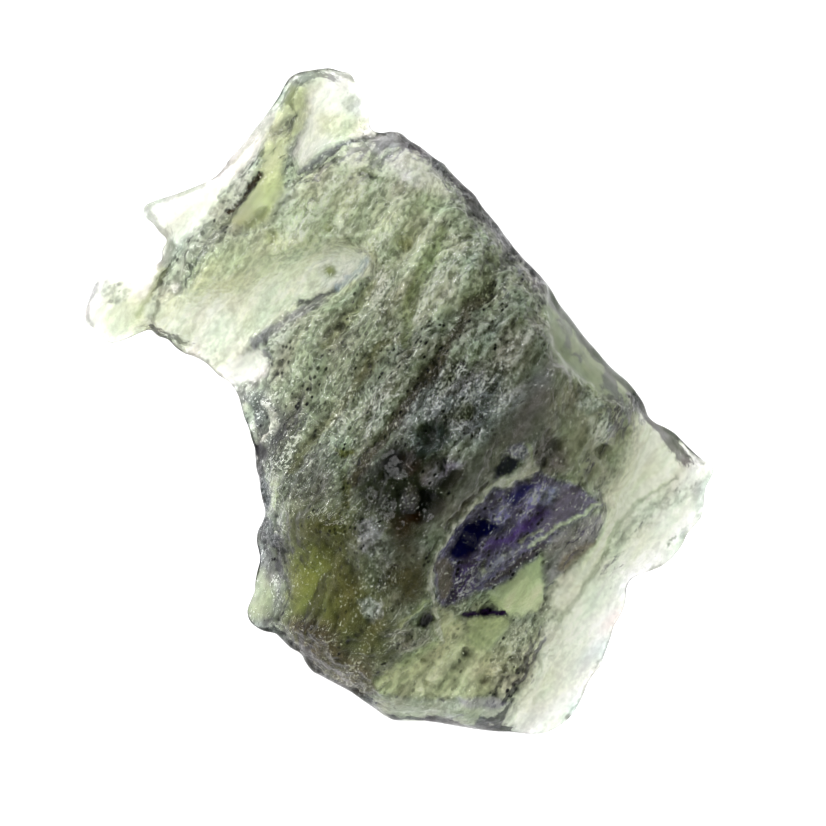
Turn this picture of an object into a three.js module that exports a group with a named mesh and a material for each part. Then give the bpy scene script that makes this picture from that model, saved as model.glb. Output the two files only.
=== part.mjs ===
// A raw moldavite: one splash of green natural glass, lying on its flatter side.
// The middle is thick and etched with pits and flow grooves. Towards the upper left and the lower right the
// glass thins to clear flakes, and smooth fracture scars cut down into it from above.
import * as THREE from "three";
import { ImprovedNoise } from "three/addons/math/ImprovedNoise.js";

// Driving dimensions, in millimetres.
const LENGTH = 28; // longest straight line across the stone
const UPPER_SPACING = 0.42; // between neighbouring corners of the upper face
const UNDER_SPACING = 0.56; // and of the underside
const THINNEST = 0.3; // glass left anywhere
const SHOULDER_WIDTH = 0.75; // band along the rim where both faces round over
const RIM_SHARE = 0.42; // thickness left at the rim, as a share of the full one
const TOP_SHARE = 0.6; // how much of that rounding the upper face takes
const WALL_TUCK = 0.16; // how far the side's upper and lower edges stand in from its middle line
const TUCK_SHARE = 0.4; // and the most, as a share of its height
const WALL_WANDER = 0.25; // how far the middle line wanders up and down, as a share of the height
const WALL_WAVE = 0.77; // and over what length
const STEP_ROOM = 0.2; // least distance between corners on the edges of the scars
const LATTICE_ROOM = 0.7; // and between those and the rest, as a share of their spacing
const RIM_ROOM = 0.27; // and from the rim
const RIM_DIVISIONS = 4000; // pieces in which the rim's length is measured
const FAR_OFF = 1000; // corners of the triangle that the triangulation starts from

// Plan positions are pixels of the photograph, y downwards, and this is the real size of one.
const LENGTH_IN_PIXELS = 701;
const PIXEL = LENGTH / LENGTH_IN_PIXELS;
const onPlan = (x, y) => new THREE.Vector2(x * PIXEL, -y * PIXEL);

// The rim, clockwise from the tip, in the stretches that the stone's form gives it.
const TIP_RIM = [
  [289, 80], [293, 76], [302, 73], [320, 70], [327, 69], [343, 73], [352, 76], [356, 84], [361, 97],
  [371, 110], [369, 119], [370, 127],
];
const UPPER_RIGHT_RIM = [
  [376, 133], [390, 132], [399, 132], [405, 138], [415, 143], [427, 152], [434, 158], [440, 160],
  [453, 174], [468, 189], [476, 196], [481, 205], [496, 223], [513, 246], [525, 260], [543, 279],
  [550, 288], [557, 301], [572, 320], [583, 335], [596, 350], [608, 364], [621, 376], [627, 381],
  [638, 395], [644, 405],
];
const WEDGE_RIM = [
  [650, 419], [661, 425], [672, 431], [686, 445], [700, 458], [713, 469], [709, 479], [704, 490],
  [703, 505], [699, 519], [688, 531], [682, 543], [673, 555], [660, 566], [647, 571], [633, 577],
  [627, 582], [626, 592], [622, 611], [614, 624], [609, 640], [603, 656], [599, 667], [590, 677],
  [584, 691], [576, 707], [569, 717], [557, 726], [545, 732],
];
const FOOT_RIM = [
  [530, 733], [510, 731], [490, 730], [460, 726], [440, 722], [420, 720], [402, 720], [390, 718],
  [375, 708], [352, 692], [330, 680], [311, 669], [306, 662], [300, 652], [289, 646], [276, 633],
  [262, 630], [254, 624],
];
const LEFT_RIM = [
  [247, 615], [250, 603], [255, 589], [256, 574], [260, 563], [258, 546], [256, 534], [261, 525],
  [265, 511], [261, 494], [259, 477], [255, 463], [256, 453], [252, 440], [249, 428], [243, 413],
  [241, 403], [237, 393], [231, 383], [218, 374], [207, 363], [194, 356], [179, 350], [170, 340],
  [160, 337],
];
const LOBE_RIM = [
  [153, 330], [140, 333], [124, 340], [108, 342], [103, 336], [96, 329], [88, 323], [86, 313],
  [90, 300], [95, 286], [103, 276], [115, 270], [130, 272], [145, 271], [155, 265],
];
const FLAKE_RIM = [
  [162, 260], [163, 250], [167, 240], [160, 232], [153, 223], [145, 215], [146, 206], [156, 201],
  [175, 195], [200, 185], [213, 179], [222, 171], [232, 157], [246, 142], [255, 130], [266, 116],
  [278, 99], [284, 88],
];

// Soundings: [x, y, millimetres of glass] on the plan. The full body first, as if nothing had broken off.
const BODY_DEPTHS = [
  [410, 150, 1.9], [445, 185, 2.2], [350, 160, 2.3], [310, 185, 2.6], [330, 215, 2.9], [300, 240, 2.6],
  [240, 245, 2.0], [195, 262, 1.7], [192, 240, 1.2], [214, 222, 1.2], [380, 215, 3.2], [440, 225, 3.5],
  [490, 235, 3.0], [480, 260, 4.0], [525, 285, 4.0], [400, 270, 3.7], [350, 310, 3.3], [290, 345, 2.5],
  [262, 388, 1.5], [300, 400, 3.2], [430, 310, 4.6], [480, 330, 5.4], [545, 340, 4.9], [380, 370, 4.6],
  [340, 420, 4.5], [290, 450, 3.3], [262, 460, 1.8], [278, 520, 3.0], [268, 560, 2.0], [262, 600, 1.5],
  [420, 400, 6.0], [480, 400, 6.4], [530, 400, 6.0], [590, 420, 4.3], [625, 430, 2.9], [400, 470, 6.6],
  [460, 460, 6.9], [500, 480, 6.5], [560, 460, 5.4], [600, 470, 3.8], [340, 500, 5.4], [310, 560, 4.4],
  [320, 600, 4.2], [300, 632, 3.1], [345, 665, 3.4], [360, 560, 5.8], [400, 560, 6.3], [370, 620, 5.0],
  [415, 620, 5.2], [380, 685, 3.1], [440, 530, 6.5], [425, 580, 6.0], [495, 587, 4.1], [546, 550, 3.8],
  [580, 517, 3.8], [601, 508, 3.0], [480, 612, 3.5], [440, 700, 2.7], [518, 690, 2.3], [545, 605, 2.8],
];
// Height of the underside above the table. Below zero it is worn flat, and rests there.
const UNDERSIDE_HEIGHTS = [
  [430, 450, -0.16], [350, 560, -0.08], [500, 560, -0.08], [430, 330, -0.08], [520, 400, -0.08],
  [330, 420, 0.02], [420, 640, 0.12], [300, 600, 0.45], [145, 210, 1.9], [250, 137, 1.9], [320, 75, 2.0],
  [375, 120, 1.7], [90, 310, 1.7], [150, 300, 1.4], [220, 300, 0.9], [280, 200, 0.9], [350, 200, 0.3],
  [430, 170, 0.7], [500, 225, 0.7], [560, 300, 0.6], [630, 385, 0.7], [714, 471, 1.5], [660, 560, 1.3],
  [640, 480, 0.7], [610, 640, 1.2], [545, 730, 1.1], [460, 725, 0.6], [350, 690, 0.5], [250, 612, 0.9],
  [258, 520, 0.7], [243, 400, 0.8],
];

// Breaks in the upper face: each has its own edge line, soundings and sharpness of edge (millimetres), and
// how much of the body's etched relief it keeps.
const SCARS = [
  {
    name: "clear flake", soft: 0.28, relief: 0.1,
    edge: [
      [168, 264], [178, 247], [192, 234], [203, 222], [212, 208], [221, 192], [236, 178], [250, 160],
      [262, 140], [275, 108], [240, 80], [120, 180], [135, 262],
    ],
    depths: [
      [160, 212, 0.6], [185, 210, 0.4], [230, 170, 0.45], [255, 145, 0.5], [172, 240, 0.8], [240, 172, 0.7],
      [195, 225, 0.6],
    ],
  },
  {
    name: "pale tip", soft: 0.22, relief: 0.25,
    edge: [
      [283, 70], [306, 90], [308, 112], [306, 128], [299, 140], [297, 155], [300, 171], [316, 158],
      [332, 148], [352, 140], [372, 134], [395, 126], [390, 90], [350, 50], [300, 52],
    ],
    depths: [
      [300, 82, 1.0], [330, 80, 0.9], [352, 102, 0.6], [325, 108, 0.55], [320, 140, 0.9], [345, 130, 0.9],
      [303, 160, 0.8], [370, 125, 0.8],
    ],
  },
  {
    name: "olive tongue", soft: 0.18, relief: 0.06,
    edge: [
      [226, 224], [240, 205], [252, 185], [259, 168], [262, 150], [268, 130], [280, 108], [290, 88],
      [306, 88], [308, 112], [306, 128], [296, 138], [288, 150], [284, 170], [284, 190], [278, 208],
      [268, 222], [255, 229], [238, 229],
    ],
    depths: [
      [285, 115, 1.5], [272, 150, 1.8], [268, 185, 1.9], [255, 212, 2.0], [238, 222, 1.7], [298, 100, 1.2],
    ],
  },
  {
    name: "bright flute", soft: 0.42, relief: 0.35,
    edge: [
      [148, 306], [165, 297], [200, 297], [235, 290], [262, 272], [290, 262], [315, 252], [338, 247],
      [358, 250], [367, 258], [366, 268], [352, 281], [338, 291], [318, 300], [300, 307], [285, 319],
      [268, 332], [254, 344], [240, 356], [222, 385], [200, 370], [175, 356], [152, 340],
    ],
    depths: [
      [165, 312, 1.2], [200, 320, 0.9], [240, 300, 1.0], [280, 290, 1.0], [320, 270, 0.85], [348, 262, 1.0],
      [230, 345, 0.6], [270, 315, 1.1], [200, 345, 0.8],
    ],
  },
  {
    name: "window", soft: 0.25, relief: 0,
    edge: [
      [218, 374], [232, 361], [247, 353], [261, 351], [270, 358], [271, 368], [263, 378], [248, 384],
      [228, 388],
    ],
    depths: [[235, 370, 0.4], [255, 358, 0.4], [262, 370, 0.45]],
  },
  {
    name: "lobe", soft: 0.22, relief: 0.25,
    edge: [
      [165, 256], [158, 284], [152, 300], [150, 321], [156, 336], [130, 365], [70, 355], [60, 280],
      [110, 245],
    ],
    depths: [
      [95, 310, 0.7], [120, 325, 0.8], [145, 322, 1.0], [128, 285, 0.6], [157, 285, 1.2], [147, 303, 1.3],
    ],
  },
  {
    name: "right facet", soft: 0.22, relief: 0.05,
    edge: [
      [546, 284], [543, 300], [545, 318], [546, 335], [550, 350], [557, 362], [568, 370], [578, 382],
      [590, 390], [603, 396], [618, 400], [630, 392], [655, 398], [610, 330], [565, 275],
    ],
    depths: [
      [551, 305, 3.5], [556, 345, 3.9], [580, 378, 3.6], [612, 396, 3.2], [590, 345, 2.4], [620, 380, 2.4],
    ],
  },
  {
    name: "wedge", soft: 0.5, relief: 0.3,
    edge: [
      [646, 398], [636, 412], [636, 430], [632, 445], [625, 458], [620, 470], [614, 480], [604, 490],
      [600, 500], [610, 507], [600, 522], [596, 540], [585, 552], [572, 566], [558, 580], [553, 592],
      [552, 607], [558, 618], [550, 640], [540, 655], [534, 668], [526, 680], [521, 692], [514, 704],
      [508, 718], [515, 750], [620, 750], [740, 600], [750, 450], [690, 395],
    ],
    depths: [
      [640, 425, 1.7], [680, 450, 1.2], [705, 475, 0.9], [650, 480, 1.6], [620, 520, 2.1], [690, 510, 0.8],
      [650, 550, 1.0], [600, 560, 2.1], [570, 600, 2.2], [620, 590, 1.0], [590, 640, 1.0], [550, 655, 1.9],
      [580, 690, 0.6], [540, 700, 1.1], [530, 725, 0.8], [525, 695, 1.6], [607, 495, 2.0],
    ],
  },
  {
    name: "lens", soft: 0.2, relief: 0.45,
    edge: [
      [531, 467], [515, 476], [497, 483], [480, 496], [465, 510], [452, 524], [446, 540], [438, 549],
      [433, 562], [431, 580], [434, 597], [440, 608], [456, 602], [472, 592], [490, 589], [506, 580],
      [521, 566], [536, 556], [544, 546], [552, 537], [562, 528], [576, 520], [590, 512], [599, 504],
      [590, 494], [578, 487], [564, 481], [548, 477], [540, 468],
    ],
    depths: [
      [446, 560, 5.3], [470, 530, 5.3], [500, 500, 5.5], [530, 482, 5.4], [565, 490, 4.7], [590, 502, 3.9],
      [510, 530, 4.7], [545, 515, 4.4], [480, 570, 4.6], [456, 594, 4.6],
    ],
  },
  {
    name: "mauve facet", soft: 0.2, relief: 0.1,
    edge: [
      [544, 548], [552, 538], [562, 529], [576, 521], [592, 513], [604, 514], [599, 529], [596, 541],
      [584, 550], [570, 563], [556, 577], [548, 586], [543, 572],
    ],
    depths: [[550, 560, 3.6], [575, 537, 3.7], [598, 520, 3.1], [575, 552, 3.2]],
  },
  {
    name: "green facet", soft: 0.25, relief: 0.05,
    edge: [
      [490, 590], [507, 581], [522, 567], [540, 556], [544, 575], [543, 596], [537, 609], [521, 615],
      [505, 613], [494, 602],
    ],
    depths: [[500, 592, 3.7], [530, 573, 3.6], [533, 603, 2.9], [506, 608, 3.1]],
  },
  {
    name: "foot hollow", soft: 0.4, relief: 0.3,
    edge: [
      [442, 610], [454, 618], [468, 617], [490, 616], [508, 616], [528, 622], [541, 640], [536, 660],
      [526, 684], [512, 697], [480, 696], [440, 697], [400, 696], [376, 692], [372, 682], [390, 670],
      [402, 657], [420, 647], [438, 640], [437, 622],
    ],
    depths: [
      [408, 658, 3.2], [445, 630, 3.2], [440, 660, 2.7], [470, 672, 2.5], [420, 690, 2.4], [490, 686, 2.5],
      [480, 632, 3.0], [515, 635, 3.2], [520, 665, 3.0], [385, 685, 2.8],
    ],
  },
];

// Grooves that the flow and the etching left: a line on the plan, half width and depth in millimetres.
const GROOVES = [
  { path: [[362, 462], [386, 434], [400, 413], [416, 389], [431, 369], [448, 346], [456, 316], [478, 298]],
    half: 0.42, depth: 0.55 },
  { path: [[298, 462], [318, 438], [338, 420], [355, 398], [370, 370], [388, 348]], half: 0.4, depth: 0.42 },
  { path: [[404, 345], [412, 305], [420, 278], [430, 250], [441, 232]], half: 0.45, depth: 0.34 },
  { path: [[326, 346], [345, 326], [360, 306], [371, 285]], half: 0.36, depth: 0.3 },
  { path: [[484, 300], [490, 270], [503, 262], [514, 250]], half: 0.42, depth: 0.5 },
  { path: [[254, 350], [272, 331], [296, 313], [330, 296], [346, 286]], half: 0.3, depth: 0.45 },
  { path: [[298, 174], [316, 160], [333, 149], [352, 141]], half: 0.3, depth: 0.5 },
  { path: [[226, 217], [240, 201], [250, 187], [258, 175]], half: 0.3, depth: 0.6 },
  { path: [[344, 505], [346, 488], [338, 470]], half: 0.35, depth: 0.45 },
  { path: [[486, 462], [500, 450], [512, 466]], half: 0.45, depth: 0.5 },
  { path: [[466, 612], [480, 606], [494, 608], [504, 613]], half: 0.22, depth: 0.7 },
  { path: [[598, 512], [578, 521], [560, 530], [545, 545]], half: 0.2, depth: -0.35 },
  { path: [[497, 483], [470, 505], [450, 526], [436, 549], [431, 575], [434, 597]], half: 0.22, depth: -0.4 },
];

// Deep single pits: [x, y, radius in pixels, depth in millimetres].
const PITS = [
  [449, 382, 9, 0.9], [460, 366, 9, 0.7], [427, 433, 11, 0.8], [466, 417, 8, 0.7], [397, 456, 10, 0.7],
  [420, 503, 16, 0.9], [432, 473, 12, 0.6], [372, 487, 12, 0.6], [430, 617, 9, 0.9], [466, 651, 6, 0.8],
  [484, 681, 6, 0.8], [555, 445, 9, 0.7], [603, 453, 8, 0.7], [262, 452, 8, 0.5], [499, 465, 10, 0.8],
  [175, 287, 5, 0.9], [403, 243, 7, 0.4], [330, 232, 12, 0.5], [360, 176, 9, 0.4], [266, 424, 10, 0.5],
];

const FLOW_ANGLE = THREE.MathUtils.degToRad(55); // the flow runs up to the right on the plan
const FLOW_STRETCH = 2.6; // how much longer than wide the swells are
const SWELL_SIZE = 1.15;
const SWELL_HEIGHT = 0.5;
const KNOB_SIZE = 0.62;
const KNOB_HEIGHT = 0.22;
const FULL_RELIEF_DEPTH = 3; // glass at least this deep has the full relief, thinner glass less
const LEAST_RELIEF = 0.15;
const RIM_CALM = 0.7; // share of the relief that fades out at the rim
const UPPER_LAYER = 0; // slices of the noise that the upper face, its knobs, the underside and the side use
const KNOB_LAYER = 7.3;
const UNDER_LAYER = 31.7;
const WALL_LAYER = 4.2;
const UNDERSIDE_RELIEF = 1.1; // the underside's swells, as a share of the upper ones

// The flat that the stone rests on: its middle, in pixels, and how far it stays free of dents.
const REST_PIXEL = [440, 470];
const REST_RADIUS = 2.2;
const REST_FADE = 2;

const BODY_COLOUR = 0x74803f;
const BODY_ROUGHNESS = 0.18;

const noise = new ImprovedNoise();
const { clamp, lerp, smoothstep } = THREE.MathUtils;

// A smooth sheet through [x, y, value] soundings: the thin-plate spline, with a plane under it.
function sheetThrough(soundings) {
  const points = soundings.map(([x, y]) => onPlan(x, y));
  const count = points.length;
  const bend = (squared) => (squared > 0 ? squared * Math.log(squared) : 0);
  const rows = points.map((p, i) => [
    ...points.map((q) => bend(p.distanceToSquared(q))), 1, p.x, p.y, soundings[i][2],
  ]);
  rows.push([...points.map(() => 1), 0, 0, 0, 0]);
  rows.push([...points.map((p) => p.x), 0, 0, 0, 0]);
  rows.push([...points.map((p) => p.y), 0, 0, 0, 0]);
  const weights = solved(rows);
  return (place) => {
    let height = weights[count] + weights[count + 1] * place.x + weights[count + 2] * place.y;
    points.forEach((p, i) => {
      height += weights[i] * bend(place.distanceToSquared(p));
    });
    return height;
  };
}

// Gaussian elimination with pivoting on rows that end in their right-hand side.
function solved(rows) {
  const size = rows.length;
  for (let column = 0; column < size; column++) {
    let pivot = column;
    for (let r = column + 1; r < size; r++) {
      if (Math.abs(rows[r][column]) > Math.abs(rows[pivot][column])) pivot = r;
    }
    [rows[column], rows[pivot]] = [rows[pivot], rows[column]];
    for (let r = 0; r < size; r++) {
      if (r === column) continue;
      const factor = rows[r][column] / rows[column][column];
      for (let c = column; c <= size; c++) rows[r][c] -= factor * rows[column][c];
    }
  }
  return rows.map((row, i) => row[size] / row[i]);
}

function distanceToSegment(place, from, to) {
  const along = to.clone().sub(from);
  const share = clamp(place.clone().sub(from).dot(along) / along.lengthSq(), 0, 1);
  return place.distanceTo(from.clone().addScaledVector(along, share));
}

function distanceToLine(place, line, closed) {
  let nearest = Infinity;
  const last = closed ? line.length : line.length - 1;
  for (let i = 0; i < last; i++) {
    nearest = Math.min(nearest, distanceToSegment(place, line[i], line[(i + 1) % line.length]));
  }
  return nearest;
}

function isInside(place, line) {
  let inside = false;
  for (let i = 0, j = line.length - 1; i < line.length; j = i++) {
    const a = line[i];
    const b = line[j];
    const crosses = a.y > place.y !== b.y > place.y;
    if (crosses && place.x < ((b.x - a.x) * (place.y - a.y)) / (b.y - a.y) + a.x) inside = !inside;
  }
  return inside;
}

const depthInside = (place, line) => distanceToLine(place, line, true) * (isInside(place, line) ? 1 : -1);

const bodyDepth = sheetThrough(BODY_DEPTHS);
const undersideSheet = sheetThrough(UNDERSIDE_HEIGHTS);
const scars = SCARS.map((scar) => ({
  ...scar,
  line: scar.edge.map(([x, y]) => onPlan(x, y)),
  sheet: sheetThrough(scar.depths),
}));
const grooves = GROOVES.map((groove) => ({ ...groove, line: groove.path.map(([x, y]) => onPlan(x, y)) }));
const restPoint = onPlan(...REST_PIXEL);
const pits = PITS.map(([x, y, radius, depth]) => ({ centre: onPlan(x, y), radius: radius * PIXEL, depth }));

// Swells drawn out along the flow, with rounder knobs over them.
function etchedRelief(place, layer) {
  const along = place.x * Math.cos(FLOW_ANGLE) + place.y * Math.sin(FLOW_ANGLE);
  const across = place.y * Math.cos(FLOW_ANGLE) - place.x * Math.sin(FLOW_ANGLE);
  const swell = noise.noise(along / (SWELL_SIZE * FLOW_STRETCH), across / SWELL_SIZE, layer);
  const knob = noise.noise(along / KNOB_SIZE, across / KNOB_SIZE, layer + KNOB_LAYER);
  return SWELL_HEIGHT * swell + KNOB_HEIGHT * knob;
}

function carvings(place) {
  let cut = 0;
  for (const groove of grooves) {
    const away = distanceToLine(place, groove.line, false) / groove.half;
    cut += groove.depth * Math.exp(-away * away);
  }
  for (const pit of pits) {
    const away = place.distanceTo(pit.centre) / pit.radius;
    cut += pit.depth * Math.exp(-away * away);
  }
  return cut;
}

// Glass above the underside, and how etched it is: the body, then each scar over what came before it.
function glassAt(place) {
  let depth = bodyDepth(place);
  let relief = 1;
  for (const scar of scars) {
    const reach = smoothstep(depthInside(place, scar.line), -scar.soft, scar.soft);
    if (reach === 0) continue;
    depth = lerp(depth, scar.sheet(place), reach);
    relief = lerp(relief, scar.relief, reach);
  }
  return { depth, relief };
}

// Heights of both faces at a place that is the given distance in from the rim.
function facesAt(place, inward) {
  const { depth, relief } = glassAt(place);
  const gap = clamp(1 - inward / SHOULDER_WIDTH, 0, 1);
  const rounding = depth * (1 - RIM_SHARE) * gap * gap;
  const strength = clamp(depth / FULL_RELIEF_DEPTH, LEAST_RELIEF, 1);
  const swells = strength * etchedRelief(place, UPPER_LAYER);
  const carved = relief * (1 - RIM_CALM * gap) * (swells - carvings(place));
  const dented = smoothstep(place.distanceTo(restPoint), REST_RADIUS, REST_RADIUS + REST_FADE);
  const dents = UNDERSIDE_RELIEF * strength * dented * etchedRelief(place, UNDER_LAYER);
  const lift = undersideSheet(place);
  const under = Math.max(0, lift + dents) + (1 - TOP_SHARE) * rounding;
  const over = Math.max(0, lift) + depth - TOP_SHARE * rounding + carved;
  return { under, over: Math.max(over, under + THINNEST) };
}

// Corners of triangles that tile the plan with no corner inside another's circle (Bowyer and Watson's way).
function triangulated(places) {
  const outer = [{ x: -FAR_OFF, y: -FAR_OFF }, { x: FAR_OFF, y: -FAR_OFF }, { x: 0, y: FAR_OFF }];
  const corners = [...places, ...outer];
  const first = places.length;
  let triangles = [withCircle(corners, first, first + 1, first + 2)];
  for (let n = 0; n < first; n++) {
    const p = corners[n];
    const edges = new Map();
    const kept = [];
    for (const t of triangles) {
      const dx = p.x - t.x;
      const dy = p.y - t.y;
      if (dx * dx + dy * dy >= t.squared) {
        kept.push(t);
        continue;
      }
      for (const [a, b] of [[t.a, t.b], [t.b, t.c], [t.c, t.a]]) {
        if (!edges.delete(`${b},${a}`)) edges.set(`${a},${b}`, [a, b]);
      }
    }
    for (const [a, b] of edges.values()) kept.push(withCircle(corners, a, b, n));
    triangles = kept;
  }
  return triangles.filter((t) => Math.max(t.a, t.b, t.c) < first).map((t) => [t.a, t.b, t.c]);
}

function withCircle(corners, a, b, c) {
  const [p, q, r] = [corners[a], corners[b], corners[c]];
  const twice = 2 * (p.x * (q.y - r.y) + q.x * (r.y - p.y) + r.x * (p.y - q.y));
  const [pp, qq, rr] = [p, q, r].map((v) => v.x * v.x + v.y * v.y);
  const x = (pp * (q.y - r.y) + qq * (r.y - p.y) + rr * (p.y - q.y)) / twice;
  const y = (pp * (r.x - q.x) + qq * (p.x - r.x) + rr * (q.x - p.x)) / twice;
  return { a, b, c, x, y, squared: (p.x - x) ** 2 + (p.y - y) ** 2 };
}

// The rim as evenly spaced points, anticlockwise as seen from above.
function rimPoints() {
  const drawn = [
    ...TIP_RIM, ...UPPER_RIGHT_RIM, ...WEDGE_RIM, ...FOOT_RIM, ...LEFT_RIM, ...LOBE_RIM, ...FLAKE_RIM,
  ];
  const corners = drawn.map(([x, y]) => onPlan(x, y)).map((p) => new THREE.Vector3(p.x, p.y, 0));
  const curve = new THREE.CatmullRomCurve3(corners.reverse(), true, "centripetal");
  curve.arcLengthDivisions = RIM_DIVISIONS;
  const count = Math.round(curve.getLength() / UPPER_SPACING);
  return curve.getSpacedPoints(count).slice(0, count).map((p) => new THREE.Vector2(p.x, p.y));
}

// Two rows of places along the edge of each scar, at the head and the foot of its step.
function stepPoints(rim) {
  const places = [];
  for (const { line, soft } of scars) {
    for (let i = 0; i < line.length; i++) {
      const along = line[(i + 1) % line.length].clone().sub(line[i]);
      const across = new THREE.Vector2(-along.y, along.x).setLength(soft);
      const steps = Math.max(1, Math.round(along.length() / UPPER_SPACING));
      for (let n = 0; n < steps; n++) {
        const middle = line[i].clone().addScaledVector(along, (n + 0.5) / steps);
        addWithRoom(places, middle.clone().add(across), STEP_ROOM, rim);
        addWithRoom(places, middle.clone().sub(across), STEP_ROOM, rim);
      }
    }
  }
  return places;
}

// A triangular lattice of places inside the rim, clear of it and of the places already there.
function latticePoints(rim, spacing, taken) {
  const box = new THREE.Box2().setFromPoints(rim);
  const rise = (spacing * Math.sqrt(3)) / 2;
  const places = [];
  for (let row = 0, y = box.min.y; y < box.max.y; row++, y += rise) {
    for (let x = box.min.x + (row % 2) * (spacing / 2); x < box.max.x; x += spacing) {
      const place = new THREE.Vector2(x, y);
      const room = LATTICE_ROOM * spacing;
      if (taken.every((other) => other.distanceTo(place) > room)) addWithRoom(places, place, 0, rim);
    }
  }
  return places;
}

function addWithRoom(places, place, room, rim) {
  if (depthInside(place, rim) < RIM_ROOM) return;
  if (room === 0 || places.every((other) => other.distanceTo(place) > room)) places.push(place);
}

// How far each rim point's neighbours show it to face outwards.
function rimNormals(rim) {
  return rim.map((_, i) => {
    const before = rim[(i + rim.length - 1) % rim.length];
    const after = rim[(i + 1) % rim.length];
    return new THREE.Vector2(after.y - before.y, before.x - after.x).normalize();
  });
}

// One face of the stone: its corners, the rim's first, and the triangles between them.
function faceOver(rim, inner) {
  const places = [...rim, ...inner];
  const tiles = triangulated(places).filter(([a, b, c]) => {
    const middle = places[a].clone().add(places[b]).add(places[c]).divideScalar(3);
    return isInside(middle, rim);
  });
  const heights = places.map((place, i) => facesAt(place, i < rim.length ? 0 : depthInside(place, rim)));
  return { places, tiles, heights };
}

function stoneGeometry() {
  const rim = rimPoints();
  const steps = stepPoints(rim);
  const upper = faceOver(rim, [...steps, ...latticePoints(rim, UPPER_SPACING, steps)]);
  const lower = faceOver(rim, latticePoints(rim, UNDER_SPACING, []));
  const edge = tuckedIn(rim, upper.heights);
  const positions = [];
  const index = [];
  const lowerStart = upper.places.length;
  upper.places.forEach((place, i) => {
    const { x, y } = edge[i] ?? place;
    positions.push(x, y, upper.heights[i].over);
  });
  lower.places.forEach((place, i) => {
    const { x, y } = edge[i] ?? place;
    positions.push(x, y, lower.heights[i].under);
  });
  for (const [a, b, c] of upper.tiles) index.push(a, b, c);
  for (const [a, b, c] of lower.tiles) index.push(a + lowerStart, c + lowerStart, b + lowerStart);
  addWall(rim, upper.heights, positions, index, lowerStart);
  const geometry = new THREE.BufferGeometry();
  geometry.setAttribute("position", new THREE.Float32BufferAttribute(positions, 3));
  geometry.setIndex(index);
  return geometry;
}

// The rim drawn in a little, for the upper and lower edges of the wall, less where the glass is thin.
function tuckedIn(rim, heights) {
  const normals = rimNormals(rim);
  return rim.map((point, i) => {
    const tuck = Math.min(WALL_TUCK, TUCK_SHARE * (heights[i].over - heights[i].under));
    return point.clone().addScaledVector(normals[i], -tuck);
  });
}

// The side of the stone, between the rim of the upper face and the rim of the underside.
function addWall(rim, heights, positions, index, lowerStart) {
  const middleStart = positions.length / 3;
  rim.forEach((point, i) => {
    const share = 0.5 + WALL_WANDER * noise.noise(point.x / WALL_WAVE, point.y / WALL_WAVE, WALL_LAYER);
    positions.push(point.x, point.y, lerp(heights[i].under, heights[i].over, share));
  });
  rim.forEach((_, i) => {
    const next = (i + 1) % rim.length;
    for (const [low, high] of [[lowerStart, middleStart], [middleStart, 0]]) {
      index.push(low + i, low + next, high + next);
      index.push(low + i, high + next, high + i);
    }
  });
}

// The stone with its origin under the middle of its outline, on the face that it rests on.
function rawMoldavite() {
  const geometry = stoneGeometry();
  geometry.computeBoundingBox();
  const centre = geometry.boundingBox.getCenter(new THREE.Vector3());
  geometry.translate(-centre.x, -centre.y, -geometry.boundingBox.min.z);
  geometry.computeVertexNormals();
  const glass = new THREE.MeshStandardMaterial({
    color: BODY_COLOUR, roughness: BODY_ROUGHNESS, metalness: 0, flatShading: true,
  });
  const stone = new THREE.Mesh(geometry, glass);
  stone.name = "moldavite";
  return stone;
}

const part = new THREE.Group();
part.add(rawMoldavite());

export default part;
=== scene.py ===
"""Dresses a raw moldavite as pitted, see-through green glass on a lit white floor, seen from above."""

import math
from typing import NamedTuple

import bmesh
import bpy
import numpy as np
from bpy.props import FloatProperty, FloatVectorProperty, PointerProperty
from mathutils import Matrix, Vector, noise
from mathutils.bvhtree import BVHTree
from mathutils.geometry import delaunay_2d_cdt
from mathutils.kdtree import KDTree


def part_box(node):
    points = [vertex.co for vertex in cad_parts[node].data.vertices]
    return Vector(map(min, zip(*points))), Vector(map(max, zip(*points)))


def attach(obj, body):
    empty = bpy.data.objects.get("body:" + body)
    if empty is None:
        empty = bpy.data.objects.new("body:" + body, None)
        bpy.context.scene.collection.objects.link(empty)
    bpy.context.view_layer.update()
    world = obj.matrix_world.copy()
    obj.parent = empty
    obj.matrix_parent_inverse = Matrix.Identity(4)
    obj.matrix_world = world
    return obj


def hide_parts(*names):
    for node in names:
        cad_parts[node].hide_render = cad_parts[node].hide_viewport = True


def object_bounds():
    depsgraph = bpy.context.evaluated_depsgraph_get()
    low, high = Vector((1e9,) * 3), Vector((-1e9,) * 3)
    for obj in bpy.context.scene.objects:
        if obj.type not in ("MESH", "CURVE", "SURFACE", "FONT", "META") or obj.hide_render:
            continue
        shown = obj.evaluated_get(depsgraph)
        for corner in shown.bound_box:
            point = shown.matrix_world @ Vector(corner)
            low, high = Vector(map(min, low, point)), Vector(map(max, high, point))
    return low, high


bl_info = {
    "name": "Raw Moldavite",
    "version": (1, 0, 0),
    "blender": (4, 5, 0),
    "location": "3D View > Sidebar > Moldavite",
    "description": "A pitted, see-through splash of natural green glass",
    "category": "Object",
}

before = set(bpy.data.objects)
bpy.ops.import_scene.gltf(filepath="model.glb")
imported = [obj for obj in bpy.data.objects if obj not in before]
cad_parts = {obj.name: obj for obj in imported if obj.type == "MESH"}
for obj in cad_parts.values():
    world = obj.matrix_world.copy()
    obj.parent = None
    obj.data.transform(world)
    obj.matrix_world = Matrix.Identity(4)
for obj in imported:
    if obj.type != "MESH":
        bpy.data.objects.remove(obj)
SOLID_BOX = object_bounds()
STONE_LOW, STONE_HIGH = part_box("moldavite")

MM = 0.001

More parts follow.
